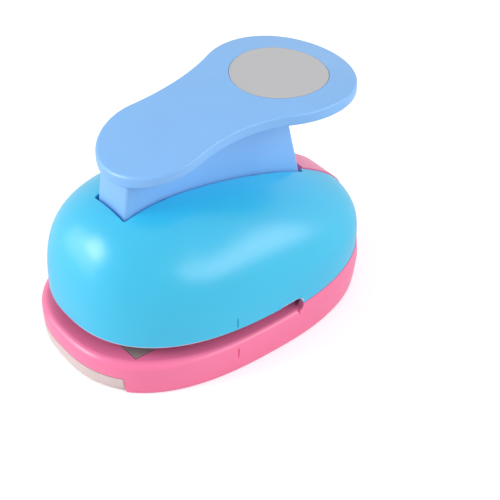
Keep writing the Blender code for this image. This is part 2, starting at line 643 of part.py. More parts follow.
def build_housing(mat):
    """The housing: outer form less the space inside, which leaves its ribs and bosses."""
    housing = dome_body("top_housing", 0.0, HOUSING_BOTTOM, DOME_RIM_TUCK, mat)
    space = dome_body("housing_space", DOME_WALL, HOUSING_BOTTOM - OVERRUN, DOME_RIM_TUCK,
                      rows=6)
    ribs = [((side * RIB_INNER_X, side * RIB_OUTER_X)) for side in (-1, 1)]
    combine(space, blocks("pivot_ribs", [
        ((min(pair), PIVOT_Y - PIVOT_RIB_FRONT, PIVOT_Z - PIVOT_RIB_DROP),
         (max(pair), PIVOT_Y + PIVOT_RIB_REAR, DOME_CREST_HEIGHT)) for pair in ribs]),
        "DIFFERENCE")
    combine(space, rods("housing_bosses", [
        (side * x, y, HOUSING_BOSS_RADIUS, HOUSING_BOTTOM, DOME_CREST_HEIGHT)
        for side, x, y in BASE_CUTS]), "DIFFERENCE")
    combine(space, rods("plate_bosses", [
        (side * x, y, PLATE_BOSS_RADIUS, GUIDE_TOP + GAP, DOME_CREST_HEIGHT)
        for side, x, y in PLATE_SCREWS]), "DIFFERENCE")
    combine(housing, space, "DIFFERENCE")

    shank = SCREW_SHANK_RADIUS + GAP
    head_top = BASE_BOSS_LIFT + BASE_BOSS_BORE_DEPTH - GAP
    pilots = [(side * x, y, shank, HOUSING_BOTTOM - OVERRUN,
               head_top + HOUSING_SCREW_LENGTH + GAP) for side, x, y in BASE_CUTS]
    plate_tip = GUIDE_BOTTOM + PLATE_SCREW_HEAD_HEIGHT + GAP + PLATE_SCREW_LENGTH + GAP
    pilots += [(side * x, y, shank, GUIDE_BOTTOM, plate_tip) for side, x, y in PLATE_SCREWS]
    combine(housing, rods("housing_pilots", pilots, steps=SCREW_STEPS), "DIFFERENCE")
    combine(housing, extruded("throat_cut", throat_outline(), BELLY_HALF_WIDTH + OVERRUN),
            "DIFFERENCE")
    slot = blocks("lever_slot", [(
        (-SLOT_HALF_WIDTH, SLOT_FRONT_Y, PIVOT_Z - PIVOT_RIB_DROP - OVERRUN),
        (SLOT_HALF_WIDTH, SLOT_REAR_Y, DOME_CREST_HEIGHT + OVERRUN))])
    combine(slot, blocks("spine_slot", [(
        (-SPINE_HALF_WIDTH - GAP, SLOT_REAR_Y - OVERRUN, SEAM_HEIGHT - OVERRUN),
        (SPINE_HALF_WIDTH + GAP, DOME_REAR + OVERRUN, DOME_CREST_HEIGHT))]), "UNION")
    combine(housing, slot, "DIFFERENCE")
    hole = rods("pivot_hole", [(0, 0, PIVOT_PIN_RADIUS + GAP, -RIB_OUTER_X - GAP,
                                RIB_OUTER_X + GAP)])
    lay_across(hole, PIVOT_Y, PIVOT_Z)
    combine(housing, hole, "DIFFERENCE")
    combine(housing, blocks("dome_marks", [
        ((DOME_HALF_WIDTH * MARK_REACH_SHARE - MARK_DEPTH, PUNCH_Y - MARK_WIDTH / 2,
          DOME_MARK_LOW),
         (DOME_HALF_WIDTH + OVERRUN, PUNCH_Y + MARK_WIDTH / 2, DOME_MARK_HIGH)),
        ((-DOME_HALF_WIDTH - OVERRUN, PUNCH_Y - MARK_WIDTH / 2, DOME_MARK_LOW),
         (MARK_DEPTH - DOME_HALF_WIDTH * MARK_REACH_SHARE, PUNCH_Y + MARK_WIDTH / 2,
          DOME_MARK_HIGH))]), "DIFFERENCE")
    return housing


def plate_top(y):
    """Height of the lever plate's upper face, a wide arc that tips up to the rear."""
    along = y - OVAL_Y
    return PLATE_HEIGHT + PLATE_SLOPE_SHARE * along - along ** 2 / (2 * PLATE_BEND_RADIUS)


def paddle(inset, drop):
    """Ring of the lever plate: two end arcs joined by hollow flanks, from the front tip."""
    front = PLATE_FRONT_RADIUS - inset
    rear = PLATE_REAR_RADIUS - inset
    flank = PLATE_FLANK_RADIUS + inset
    span = PLATE_REAR_Y - PLATE_FRONT_Y
    to_front, to_rear = front + flank, rear + flank
    along = (span ** 2 + to_front ** 2 - to_rear ** 2) / (2 * span)
    centre_x = sqrt(to_front ** 2 - along ** 2)
    centre_y = PLATE_FRONT_Y + along
    join_front = Vector((centre_x, centre_y - PLATE_FRONT_Y)).normalized()
    join_rear = Vector((centre_x, centre_y - PLATE_REAR_Y)).normalized()
    start = Vector((0, -1)).angle(join_front)
    right = []
    for step in range(PLATE_CAP_STEPS):
        turn = start * step / PLATE_CAP_STEPS
        right.append((front * sin(turn), PLATE_FRONT_Y - front * cos(turn)))
    sweep = join_front.angle(join_rear)
    low = Vector((1, 0)).angle(join_front)
    for step in range(PLATE_FLANK_STEPS + 1):
        turn = low - sweep * step / PLATE_FLANK_STEPS
        right.append((centre_x - flank * cos(turn), centre_y - flank * sin(turn)))
    end = Vector((0, 1)).angle(join_rear)
    for step in range(1, PLATE_CAP_STEPS + 1):
        turn = end * (1 - step / PLATE_CAP_STEPS)
        right.append((rear * sin(turn), PLATE_REAR_Y + rear * cos(turn)))
    ring = [Vector((x, y, plate_top(y) - drop)) for x, y in right]
    ring += [Vector((-p.x, p.y, p.z)) for p in ring[-2:0:-1]]
    return ring


def disc_ring(radius, drop):
    """Round ring that follows the lever plate's upper face."""
    points = []
    for i in range(BADGE_STEPS):
        turn = 2 * pi * i / BADGE_STEPS - pi / 2
        x, y = radius * cos(turn), BADGE_Y + radius * sin(turn)
        points.append(Vector((x, y, plate_top(y) - drop)))
    return points


def web_top(front, rear, drop):
    """Points from rear to front at a given depth below the plate's upper face."""
    points = []
    for step in range(WEB_TOP_STEPS + 1):
        y = rear + (front - rear) * step / WEB_TOP_STEPS
        points.append((y, plate_top(y) - drop))
    return points


def web_outline():
    """Side outline of the lever's web, with the pivot boss at its lower front."""
    top = web_top(WEB_FRONT_TOP_Y, WEB_REAR_TOP_Y, PLATE_THICKNESS / 2)
    across, up = WEB_FRONT_TOP_Y - PIVOT_Y, top[-1][1] - PIVOT_Z
    start = atan2(up, across) + acos(PIVOT_BOSS_RADIUS / hypot(across, up))
    outline = []
    for step in range(WEB_BOSS_STEPS + 1):
        turn = start + (pi * 3 / 4) * step / WEB_BOSS_STEPS
        outline.append((PIVOT_Y + PIVOT_BOSS_RADIUS * cos(turn),
                        PIVOT_Z + PIVOT_BOSS_RADIUS * sin(turn)))
    outline += [(ROLLER_Y - ROLLER_CHEEK_REACH, ROLLER_Z - ROLLER_CHEEK),
                (ROLLER_Y + ROLLER_CHEEK_REACH, ROLLER_Z - ROLLER_CHEEK),
                (WEB_RISE_Y, WEB_RISE_Z),
                (WEB_REAR_FOOT_Y, WEB_REAR_FOOT_Z)]
    return outline + top


def web_space_outline():
    """Side outline of the hollow inside the web, open downwards."""
    low = PIVOT_Z - PIVOT_BOSS_RADIUS - OVERRUN
    return [(PIVOT_Y - PIVOT_BOSS_RADIUS + WEB_WALL, PIVOT_Z),
            (PIVOT_Y - PIVOT_BOSS_RADIUS + WEB_WALL, low),
            (WEB_REAR_FOOT_Y - WEB_WALL, low),
            (WEB_REAR_FOOT_Y - WEB_WALL, WEB_REAR_FOOT_Z)] + web_top(
                WEB_FRONT_TOP_Y + WEB_WALL, WEB_REAR_TOP_Y - WEB_WALL,
                PLATE_THICKNESS + WEB_SPACE_DROP)


def build_lever(mat, badge_mat, pivot):
    """The lever: curved plate, hollow web with its pin holes, and the inset badge disc."""
    edge = PLATE_EDGE_RADIUS
    rings = []
    for turn in (0.0, 45.0, 90.0):
        rings.append(paddle(edge * (1 - sin(radians(turn))),
                            PLATE_THICKNESS - edge * (1 - cos(radians(turn)))))
    for turn in (90.0, 60.0, 30.0, 0.0):
        rings.append(paddle(edge * (1 - sin(radians(turn))), edge * (1 - cos(radians(turn)))))
    lever = solid("lever", rings, mat)
    combine(lever, extruded("web_form", web_outline(), WEB_HALF_WIDTH), "UNION")
    combine(lever, extruded("web_space", web_space_outline(), WEB_INNER), "DIFFERENCE")
    holes = rods("pin_hole", [(0, 0, PIVOT_PIN_RADIUS + GAP, -SLOT_HALF_WIDTH,
                               SLOT_HALF_WIDTH)])
    lay_across(holes, PIVOT_Y, PIVOT_Z)
    combine(lever, holes, "DIFFERENCE")
    holes = rods("roller_hole", [(0, 0, ROLLER_PIN_RADIUS + GAP, -SLOT_HALF_WIDTH,
                                  SLOT_HALF_WIDTH)])
    lay_across(holes, ROLLER_Y, ROLLER_Z)
    combine(lever, holes, "DIFFERENCE")
    seat = BADGE_THICKNESS - BADGE_PROUD + GAP
    combine(lever, solid("badge_seat", [disc_ring(BADGE_RADIUS + GAP, seat),
                                        disc_ring(BADGE_RADIUS + GAP, -OVERRUN)]),
            "DIFFERENCE")
    badge = solid("lever_badge", [disc_ring(BADGE_RADIUS, BADGE_THICKNESS - BADGE_PROUD),
                                  disc_ring(BADGE_RADIUS, -BADGE_PROUD)], badge_mat)
    for obj in (lever, badge):
        obj.parent = pivot
        obj.matrix_parent_inverse = pivot.matrix_basis.inverted()
    return lever, badge


def build_pins(steel, polymer, pivot):
    """The lever's pivot pin with its clip, and the roller on its own pin."""
    end = RIB_OUTER_X + GAP
    pin = turned("pivot_pin", [
        (0, -end - CLIP_THICKNESS - POST_TIP), (PIVOT_PIN_RADIUS, -end - CLIP_THICKNESS - POST_TIP),
        (PIVOT_PIN_RADIUS, -end - CLIP_THICKNESS - GAP),
        (PIVOT_PIN_RADIUS - POST_GROOVE_DEPTH, -end - CLIP_THICKNESS - GAP),
        (PIVOT_PIN_RADIUS - POST_GROOVE_DEPTH, -end + GAP), (PIVOT_PIN_RADIUS, -end + GAP),
        (PIVOT_PIN_RADIUS, end), (PIN_HEAD_RADIUS, end), (PIN_HEAD_RADIUS, end + PIN_HEAD_THICKNESS),
        (0, end + PIN_HEAD_THICKNESS)], steel)
    lay_across(pin, PIVOT_Y, PIVOT_Z)
    clip = ring_clip("pivot_clip", -end - CLIP_THICKNESS, PIVOT_PIN_RADIUS, steel)
    lay_across(clip, PIVOT_Y, PIVOT_Z)
    roller = turned("press_roller", [
        (ROLLER_PIN_RADIUS + GAP, -WEB_INNER + GAP), (ROLLER_RADIUS, -WEB_INNER + GAP),
        (ROLLER_RADIUS, WEB_INNER - GAP), (ROLLER_PIN_RADIUS + GAP, WEB_INNER - GAP)],
        polymer, closed=True)
    lay_across(roller, ROLLER_Y, ROLLER_Z)
    axle = turned("roller_pin", [
        (0, -WEB_HALF_WIDTH), (ROLLER_PIN_RADIUS, -WEB_HALF_WIDTH),
        (ROLLER_PIN_RADIUS, WEB_HALF_WIDTH), (0, WEB_HALF_WIDTH)], steel)
    lay_across(axle, ROLLER_Y, ROLLER_Z)
    for obj in (roller, axle):
        bpy.context.view_layer.update()
        obj.parent = pivot
        obj.matrix_parent_inverse = pivot.matrix_basis.inverted()


def ring_clip(name, low, shaft_radius, mat):
    """A retaining ring that sits in a shaft's groove."""
    inner = shaft_radius - POST_GROOVE_DEPTH + GAP / 2
    return turned(name, [(inner, low), (CLIP_RADIUS, low), (CLIP_RADIUS, low + CLIP_THICKNESS),
                         (inner, low + CLIP_THICKNESS)], mat, closed=True)


def build_die_set(steel):
    """Die plate, spacer and guide plate, held together by two rivets."""
    die = blocks("die_plate", [((-DIE_HALF_WIDTH, DIE_FRONT_Y, DIE_BOTTOM),
                                (DIE_HALF_WIDTH, DIE_REAR_Y, DIE_TOP))], steel)
    rivets = [(side * RIVET_X, RIVET_Y, RIVET_RADIUS + GAP, LEDGE_BOTTOM, GUIDE_TOP + OVERRUN)
              for side in (-1, 1)]
    combine(die, rods("die_cuts", [(0, PUNCH_Y, CUT_RADIUS + GAP, LEDGE_BOTTOM,
                                    DIE_TOP + OVERRUN)], steps=CUT_STEPS), "DIFFERENCE")
    rivet_cut = rods("rivet_cuts", rivets)
    combine(die, rivet_cut, "DIFFERENCE")

    spacer = blocks("throat_spacer", [((-SPACER_HALF_WIDTH, SPACER_FRONT_Y, DIE_TOP + GAP),
                                       (SPACER_HALF_WIDTH, DIE_REAR_Y, GUIDE_BOTTOM - GAP))],
                    steel)
    combine(spacer, rivet_cut, "DIFFERENCE")

    guide = slab("guide_plate", GUIDE_HALF_WIDTH, GUIDE_FRONT, GUIDE_REAR, GUIDE_EXPONENT,
                 GUIDE_BOTTOM, GUIDE_TOP, steel)
    combine(guide, blocks("guide_tail", [((-GUIDE_TAIL_HALF_WIDTH, PUNCH_Y, GUIDE_BOTTOM),
                                          (GUIDE_TAIL_HALF_WIDTH, DIE_REAR_Y, GUIDE_TOP))]),
            "UNION")
    combine(guide, rods("guide_hole", [(0, PUNCH_Y, CUT_RADIUS + GAP, DIE_TOP,
                                        GUIDE_TOP + OVERRUN)], steps=CUT_STEPS), "DIFFERENCE")
    head_top = GUIDE_BOTTOM + PLATE_SCREW_HEAD_HEIGHT + GAP
    small = [(side * x, y, SCREW_SHANK_RADIUS + GAP, DIE_TOP, GUIDE_TOP + OVERRUN)
             for side, x, y in PLATE_SCREWS]
    small += [(side * POST_X, PUNCH_Y, POST_RADIUS + GAP, DIE_TOP, GUIDE_TOP + OVERRUN)
              for side in (-1, 1)]
    combine(guide, rods("guide_small_holes", small, steps=SCREW_STEPS), "DIFFERENCE")
    combine(guide, rods("guide_head_seats", [
        (side * x, y, SCREW_HEAD_RADIUS + GAP, DIE_TOP, head_top + GAP)
        for side, x, y in PLATE_SCREWS], steps=SCREW_STEPS), "DIFFERENCE")
    combine(guide, rivet_cut, "DIFFERENCE")

    low, high = DIE_BOTTOM - GAP, GUIDE_TOP + GAP
    for side, label in ((-1, "left"), (1, "right")):
        rivet = turned("frame_rivet_" + label, [
            (0, low - RIVET_HEAD_THICKNESS), (RIVET_HEAD_RADIUS, low - RIVET_HEAD_THICKNESS),
            (RIVET_HEAD_RADIUS, low), (RIVET_RADIUS, low), (RIVET_RADIUS, high),
            (RIVET_HEAD_RADIUS, high), (RIVET_HEAD_RADIUS, high + RIVET_HEAD_THICKNESS),
            (0, high + RIVET_HEAD_THICKNESS)], steel)
        rivet.location = (side * RIVET_X, RIVET_Y, 0)


def stadium(half_length, half_width, z):
    """Ring with straight sides along X and round ends, about the cut's centre."""
    points = []
    steps = TURN_STEPS
    shift = half_length - half_width
    for i in range(steps):
        turn = 2 * pi * i / steps - pi / 2
        x = half_width * cos(turn)
        if abs(x) > MERGE:
            x += copysign(shift, x)
        points.append(Vector((x, PUNCH_Y + half_width * sin(turn), z)))
    return points


def build_ram(steel, spring_steel, pad_mat, ram):
    """The cutter with its pressure plate, pad and screws, and the posts that guide it."""
    hollow_top = CUTTER_BOTTOM + CUTTER_HOLLOW_DEPTH
    cutter = turned("punch_cutter", [
        (0, hollow_top), (CUTTER_HOLLOW_RADIUS, hollow_top),
        (CUTTER_HOLLOW_RADIUS + CUTTER_HOLLOW_DEPTH, CUTTER_BOTTOM), (CUT_RADIUS, CUTTER_BOTTOM),
        (CUT_RADIUS, CUTTER_TOP), (0, CUTTER_TOP)], steel, steps=CUT_STEPS)
    cutter.location = (0, PUNCH_Y, 0)
    plate = solid("pressure_plate", [stadium(PRESSURE_HALF_LENGTH, PRESSURE_HALF_WIDTH, z)
                                     for z in (PRESSURE_BOTTOM, PRESSURE_TOP)], steel)
    combine(plate, rods("post_holes", [
        (side * POST_X, PUNCH_Y, POST_RADIUS + GAP, PRESSURE_BOTTOM - OVERRUN,
         PRESSURE_TOP + OVERRUN) for side in (-1, 1)]), "DIFFERENCE")
    screw_top = PRESSURE_TOP
    seat = screw_top - SCREW_HEAD_HEIGHT - GAP
    tip = screw_top - SCREW_HEAD_HEIGHT - PUNCH_SCREW_DEPTH
    holes = rods("punch_screw_holes", [
        (side * PUNCH_SCREW_X, PUNCH_Y, SCREW_SHANK_RADIUS + GAP, tip - GAP,
         PRESSURE_TOP + OVERRUN) for side in (-1, 1)], steps=SCREW_STEPS)
    combine(plate, holes, "DIFFERENCE")
    combine(cutter, holes, "DIFFERENCE")
    combine(plate, rods("punch_screw_seats", [
        (side * PUNCH_SCREW_X, PUNCH_Y, SCREW_HEAD_RADIUS + GAP, seat,
         PRESSURE_TOP + OVERRUN) for side in (-1, 1)], steps=SCREW_STEPS), "DIFFERENCE")
    pad = blocks("wear_pad", [((-PAD_HALF_X, ROLLER_Y - PAD_HALF_Y, PRESSURE_TOP + GAP),
                               (PAD_HALF_X, ROLLER_Y + PAD_HALF_Y, PAD_TOP))], pad_mat)
    moving = [cutter, plate, pad]
    for side, label in ((-1, "left"), (1, "right")):
        bolt = turned("punch_screw_" + label, [
            (0, tip), (SCREW_SHANK_RADIUS, tip), (SCREW_SHANK_RADIUS, seat + GAP),
            (SCREW_HEAD_RADIUS, seat + GAP), (SCREW_HEAD_RADIUS, screw_top), (0, screw_top)],
            steel, steps=SCREW_STEPS)
        bolt.location = (side * PUNCH_SCREW_X, PUNCH_Y, 0)
        moving.append(bolt)
    for obj in moving:
        obj.parent = ram
        obj.matrix_parent_inverse = ram.matrix_basis.inverted()

    clip_low = PRESSURE_TOP + GAP
    clip_high = clip_low + CLIP_THICKNESS
    top = clip_high + POST_TIP
    groove = POST_RADIUS - POST_GROOVE_DEPTH
    for side, label in ((-1, "left"), (1, "right")):
        post = turned("guide_post_" + label, [
            (0, GUIDE_BOTTOM), (POST_RADIUS, GUIDE_BOTTOM), (POST_RADIUS, clip_low - GAP),
            (groove, clip_low - GAP), (groove, clip_high + GAP), (POST_RADIUS, clip_high + GAP),
            (POST_RADIUS, top), (0, top)], steel)
        post.location = (side * POST_X, PUNCH_Y, 0)
        clip = ring_clip("post_clip_" + label, clip_low, POST_RADIUS, steel)
        clip.location = (side * POST_X, PUNCH_Y, 0)
        build_spring("return_spring_" + label, side, spring_steel)


def build_spring(name, side, mat):
    """A coil round a post, from the guide plate to the pressure plate."""
    low = GUIDE_TOP + GAP + SPRING_WIRE_RADIUS
    high = PRESSURE_BOTTOM - GAP - SPRING_WIRE_RADIUS
    curve = bpy.data.curves.new(name, "CURVE")
    curve.dimensions = "3D"
    curve.bevel_depth = SPRING_WIRE_RADIUS
    curve.bevel_resolution = (SPRING_SIDES - 4) // 2
    curve.use_fill_caps = True
    spline = curve.splines.new("POLY")
    count = SPRING_TURNS * SPRING_POINTS_PER_TURN + 1
    spline.points.add(count - 1)
    for i, point in enumerate(spline.points):
        share = i / (count - 1)
        turn = 2 * pi * SPRING_TURNS * share
        point.co = (SPRING_RADIUS * cos(turn), SPRING_RADIUS * sin(turn),
                    low + (high - low) * share, 1.0)
    curve.materials.append(mat)
    obj = bpy.data.objects.new(name, curve)
    obj.location = (side * POST_X, PUNCH_Y, 0)
    bpy.context.collection.objects.link(obj)
    return obj


def build_tray(mat):
    """The catch tray: a floor and walls under the die, with a lip flush with the base."""
    front = -FOOT_FRONT - OVERRUN
    lip_back = RAIL_FRONT_Y - GAP
    tray = base_outer("catch_tray", 0.0, TRAY_LIFT, mat)
    combine(tray, blocks("lip_block", [((-TRAY_LIP_HALF_WIDTH, front, 0),
                                        (TRAY_LIP_HALF_WIDTH, lip_back, TRAY_TOP))]),
            "INTERSECT")

    inset = BASE_WALL + GAP
    form = slab("tray_form", FOOT_HALF_WIDTH - inset, FOOT_FRONT - inset, FOOT_REAR - inset,
                BELLY_EXPONENT, TRAY_LIFT, TRAY_TOP)
    combine(form, blocks("tray_block", [((-TRAY_HALF_WIDTH, front, 0),
                                         (TRAY_HALF_WIDTH, TRAY_REAR_Y, DECK_HEIGHT))]),
            "INTERSECT")
    combine(tray, form, "UNION")
    flange_low = TRAY_LIFT + TRAY_FLANGE_HEIGHT
    reach = TRAY_HALF_WIDTH + TRAY_FLANGE
    combine(tray, blocks("tray_flange", [((-reach, lip_back - TRAY_WALL, flange_low),
                                          (reach, TRAY_REAR_Y,
                                           flange_low + TRAY_FLANGE_THICKNESS))]), "UNION")

    thin = TRAY_LIP_THICKNESS
    space = slab("tray_space", FOOT_HALF_WIDTH - thin, FOOT_FRONT - thin, FOOT_REAR - thin,
                 BELLY_EXPONENT, TRAY_LIFT + TRAY_FLOOR, TRAY_TOP + OVERRUN)
    inner = TRAY_HALF_WIDTH - TRAY_WALL
    combine(space, blocks("tray_space_block", [((-inner, front, 0),
                                                (inner, TRAY_REAR_Y - TRAY_WALL, DECK_HEIGHT))]),
            "INTERSECT")
    combine(tray, space, "DIFFERENCE")
    return tray


def build_screws(steel):
    """Screws that hold the base to the housing, and the guide plate to the housing."""
    head = BASE_BOSS_LIFT + BASE_BOSS_BORE_DEPTH - GAP - SCREW_HEAD_HEIGHT
    for number, (side, x, y) in enumerate(BASE_CUTS, 1):
        screw("housing_screw_%d" % number, side * x, y, head, HOUSING_SCREW_LENGTH, steel)
    for number, (side, x, y) in enumerate(PLATE_SCREWS, 1):
        screw("plate_screw_%d" % number, side * x, y, GUIDE_BOTTOM + GAP / 2,
              PLATE_SCREW_LENGTH, steel, PLATE_SCREW_HEAD_HEIGHT)


def empty(name, location):
    """A joint marker that the moving pieces hang from."""
    obj = bpy.data.objects.new(name, None)
    obj.location = location
    bpy.context.collection.objects.link(obj)
    return obj


def main():
    clear_scene()
    pink = material("pink_abs", (0.95, 0.16, 0.33), 0.38)
    cyan = material("cyan_abs", (0.05, 0.50, 0.82), 0.36)
    periwinkle = material("periwinkle_abs", (0.25, 0.50, 0.90), 0.40)
    clear = material("clear_polypropylene", (0.86, 0.80, 0.78), 0.30, alpha=0.75)
    grey = material("grey_foil", (0.53, 0.53, 0.54), 0.50)
    steel = material("zinc_plated_steel", (0.55, 0.55, 0.56), 0.30, metallic=1.0)
    tool_steel = material("ground_tool_steel", (0.45, 0.45, 0.46), 0.22, metallic=1.0)
    spring_steel = material("spring_steel", (0.40, 0.40, 0.41), 0.28, metallic=1.0)
    acetal = material("white_acetal", (0.85, 0.85, 0.82), 0.45)

    lever_axis = empty("lever_axis", (0, PIVOT_Y, PIVOT_Z))
    ram_axis = empty("ram_axis", (0, PUNCH_Y, CUTTER_BOTTOM))

    build_base(pink)
    build_housing(cyan)
    build_lever(periwinkle, grey, lever_axis)
    build_pins(steel, acetal, lever_axis)
    build_die_set(tool_steel)
    build_ram(tool_steel, spring_steel, acetal, ram_axis)
    build_tray(clear)
    build_screws(steel)


main()
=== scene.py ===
from math import acos, atan2, copysign, cos, hypot, pi, radians, sin, sqrt

import bmesh
import bpy
from bpy.props import FloatProperty, FloatVectorProperty, PointerProperty
from mathutils import Matrix, Vector
from mathutils.bvhtree import BVHTree


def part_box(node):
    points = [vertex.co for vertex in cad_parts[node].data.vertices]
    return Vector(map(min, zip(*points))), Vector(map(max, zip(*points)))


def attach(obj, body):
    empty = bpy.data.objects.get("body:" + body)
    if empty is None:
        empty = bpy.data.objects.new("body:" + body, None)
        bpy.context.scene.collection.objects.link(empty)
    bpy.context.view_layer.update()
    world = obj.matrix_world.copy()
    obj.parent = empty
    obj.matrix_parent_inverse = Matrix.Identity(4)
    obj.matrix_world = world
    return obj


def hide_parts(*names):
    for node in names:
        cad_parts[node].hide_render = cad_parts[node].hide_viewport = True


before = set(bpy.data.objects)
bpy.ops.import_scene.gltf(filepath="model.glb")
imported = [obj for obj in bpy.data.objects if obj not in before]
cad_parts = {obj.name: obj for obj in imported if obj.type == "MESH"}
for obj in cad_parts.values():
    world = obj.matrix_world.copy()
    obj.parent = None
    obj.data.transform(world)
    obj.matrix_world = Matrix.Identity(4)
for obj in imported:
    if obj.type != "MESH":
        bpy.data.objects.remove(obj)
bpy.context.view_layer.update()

bl_info = {
    "name": "Circle craft punch",
    "version": (1, 0, 0),
    "blender": (4, 5, 0),
    "location": "3D View > Sidebar > Punch",
    "description": "Moulded shells, lever, tray and finishes of a desk circle punch",
    "category": "Add Mesh",
}

MM = 0.001
GAP = 0.3 * MM
OVERRUN = 4 * MM
# Beyond the punch to its sides and to its front
BESIDE = 45 * MM
BEFORE = 70 * MM
# How near a cut edge or a face lies to the uncut form that it is matched with
EDGE_MATCH = 0.01 * MM
FACE_MATCH = 0.02 * MM
OVAL_STEPS = 168
ROUND_STEPS = 48

# The base's and the housing's ovals are drawn about this line
OVAL_Y = -1.4 * MM
PUNCH_Y = -14.8 * MM
CUT_RADIUS = 19.0 * MM

# Base: half width, reach to the front, reach to the rear
FOOT = (37.0 * MM, 54.0 * MM, 54.0 * MM)
BELLY = (38.2 * MM, 54.2 * MM, 56.0 * MM)
BELLY_HEIGHT = 10.3 * MM
BELLY_EXPONENT = 2.5
DECK_HEIGHT = 12.6 * MM
DECK_INSET = 2.0 * MM
DECK_EXPONENT = 2.35
DECK_THICKNESS = 2.2 * MM
SEAM_HEIGHT = 14.5 * MM
SEAM_REAR = 56.6 * MM
BASE_WALL = 2.2 * MM
FOOT_EDGE = 0.6 * MM
BASE_MARK = (6.3 * MM, 10.3 * MM)
DIE_MARGIN = 2.2 * MM
DIE_LEDGE = 1.9 * MM
BASE_BOSS_RADIUS = 4.0 * MM
BASE_BOSS_FOOT = 2.5 * MM
SCREW_HEAD_BORE = 2.7 * MM
SCREW_HEAD_TOP = 7.5 * MM
SCREW_HOLE = 1.5 * MM
RIVET_ROOM = 3.6 * MM

# Housing
DOME = (37.9 * MM, 51.2 * MM, 56.4 * MM)
DOME_EXPONENT = 2.37
DOME_BELT = 16.0 * MM
DOME_RIM_TUCK = 0.05 * MM
SEAM_GAP = 0.08 * MM
DOME_CREST_HEIGHT = 56.3 * MM
DOME_CREST_Y = -45.0 * MM
DOME_CREST_RADIUS = 218.0 * MM
DOME_CROSS_RADIUS = 65.0 * MM
DOME_FRONT_ROUND = 3.29
DOME_REAR_ROUND = 4.08
DOME_BLEND_START = 0.25
DOME_BLEND_SPAN = 0.30
DOME_WALL = 2.0 * MM
DOME_ROWS = 44
HOUSING_MARK = (18.9 * MM, 22.4 * MM)
# Half width of either oval at the cut's centre, as a share of its greatest
WIDTH_AT_PUNCH = 0.985
HOUSING_BOSS_RADIUS = 3.6 * MM
PLATE_BOSS_RADIUS = 3.3 * MM

THROAT_TOP = 17.7 * MM
THROAT_END_Y = 11.7 * MM
THROAT_END_RADIUS = 3.3 * MM

# Lever
PIVOT_Y = -31.8 * MM
PIVOT_Z = 36.5 * MM
PIVOT_PIN_RADIUS = 2.0 * MM
PIVOT_BOSS_RADIUS = 4.5 * MM
RIB_THICKNESS = 3.0 * MM
# The ribs' reach from the pivot to the front, to the rear and below
RIB_REACH = (8.5 * MM, 4.3 * MM, 5.5 * MM)
WEB_HALF_WIDTH = 7.5 * MM
WEB_WALL = 2.0 * MM
WEB_FRONT_TOP_Y = -32.3 * MM
WEB_REAR_TOP_Y = 26.6 * MM
WEB_REAR_FOOT = (34.6 * MM, 38.0 * MM)
WEB_RISE = (8.0 * MM, 40.5 * MM)
SLOT_SIDE_GAP = 0.6 * MM
SLOT_Y = (-35.1 * MM, 35.2 * MM)
SLOT_FLOOR = PIVOT_Z - 9.5 * MM
SLOT_EDGE_FLOOR = PIVOT_Z - 9.0 * MM
ROLLER = (-12.391 * MM, 39.228 * MM)
ROLLER_PIN_RADIUS = 1.5 * MM
ROLLER_CHEEK = (4.0 * MM, 2.8 * MM)
WEB_BORE_REACH = 9 * MM
WEB_CEILING = 3.0 * MM
PLATE_FRONT = (18.2 * MM, -17.0 * MM)
PLATE_REAR = (25.1 * MM, 30.5 * MM)
PLATE_FLANK_RADIUS = 50.5 * MM
PLATE_HEIGHT = 74.1 * MM
PLATE_SLOPE = 0.123
PLATE_BEND_RADIUS = 191.0 * MM
PLATE_THICKNESS = 4.2 * MM
BADGE_RADIUS = 15.8 * MM
BADGE_Y = 30.9 * MM
BADGE_THICKNESS = 0.7 * MM
BADGE_PROUD = 0.1 * MM
BADGE_PLAY = 0.15 * MM
BADGE_HOLLOW = 0.02 * MM

SPINE_HALF_WIDTH = 6.0 * MM
SPINE_THICKNESS = 2.0 * MM
TRAY_LIFT = 0.4 * MM
TRAY_TOP = 6.0 * MM
TRAY_LIP_HALF_WIDTH = 22.9 * MM
TRAY_HALF_WIDTH = 21.2 * MM
TRAY_REAR_Y = 8.0 * MM
TRAY_FLOOR = 1.2 * MM
TRAY_WALL = 1.0 * MM
TRAY_LIP_WALL = 1.8 * MM
TRAY_BAND_TOP = 2.4 * MM
FLANGE_RISE = 2.2 * MM
FLANGE_THICKNESS = 1.0 * MM
FLANGE_REACH = 1.4 * MM
RAIL_FRONT_Y = -43.0 * MM
RAIL_THICKNESS = 3.0 * MM
RAIL_FOOT = 0.8 * MM
RAIL_STOP = 1.6 * MM

HOUSING_SCREWS = [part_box("housing_screw_%d" % number) for number in range(1, 5)]
PLATE_SCREWS = [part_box("plate_screw_%d" % number) for number in range(1, 5)]
DIE_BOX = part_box("die_plate")
RIVETS = [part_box("frame_rivet_left"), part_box("frame_rivet_right")]


def linear(code):
    """An sRGB hex colour as linear red, green and blue."""
    values = [int(code[i:i + 2], 16) / 255 for i in (0, 2, 4)]
    return tuple(v / 12.92 if v <= 0.04045 else ((v + 0.055) / 1.055) ** 2.4 for v in values)


def length(name, description, default):
    """A size in metres that the sidebar shows in millimetres or inches."""
    return FloatProperty(name=name, description=description, default=default, unit="LENGTH",
                         min=0.0, precision=5)


def colour(name, description, code):
    """A colour swatch, written as sRGB hex."""
    return FloatVectorProperty(name=name, description=description, default=linear(code),
                               subtype="COLOR", size=3, min=0.0, max=1.0)


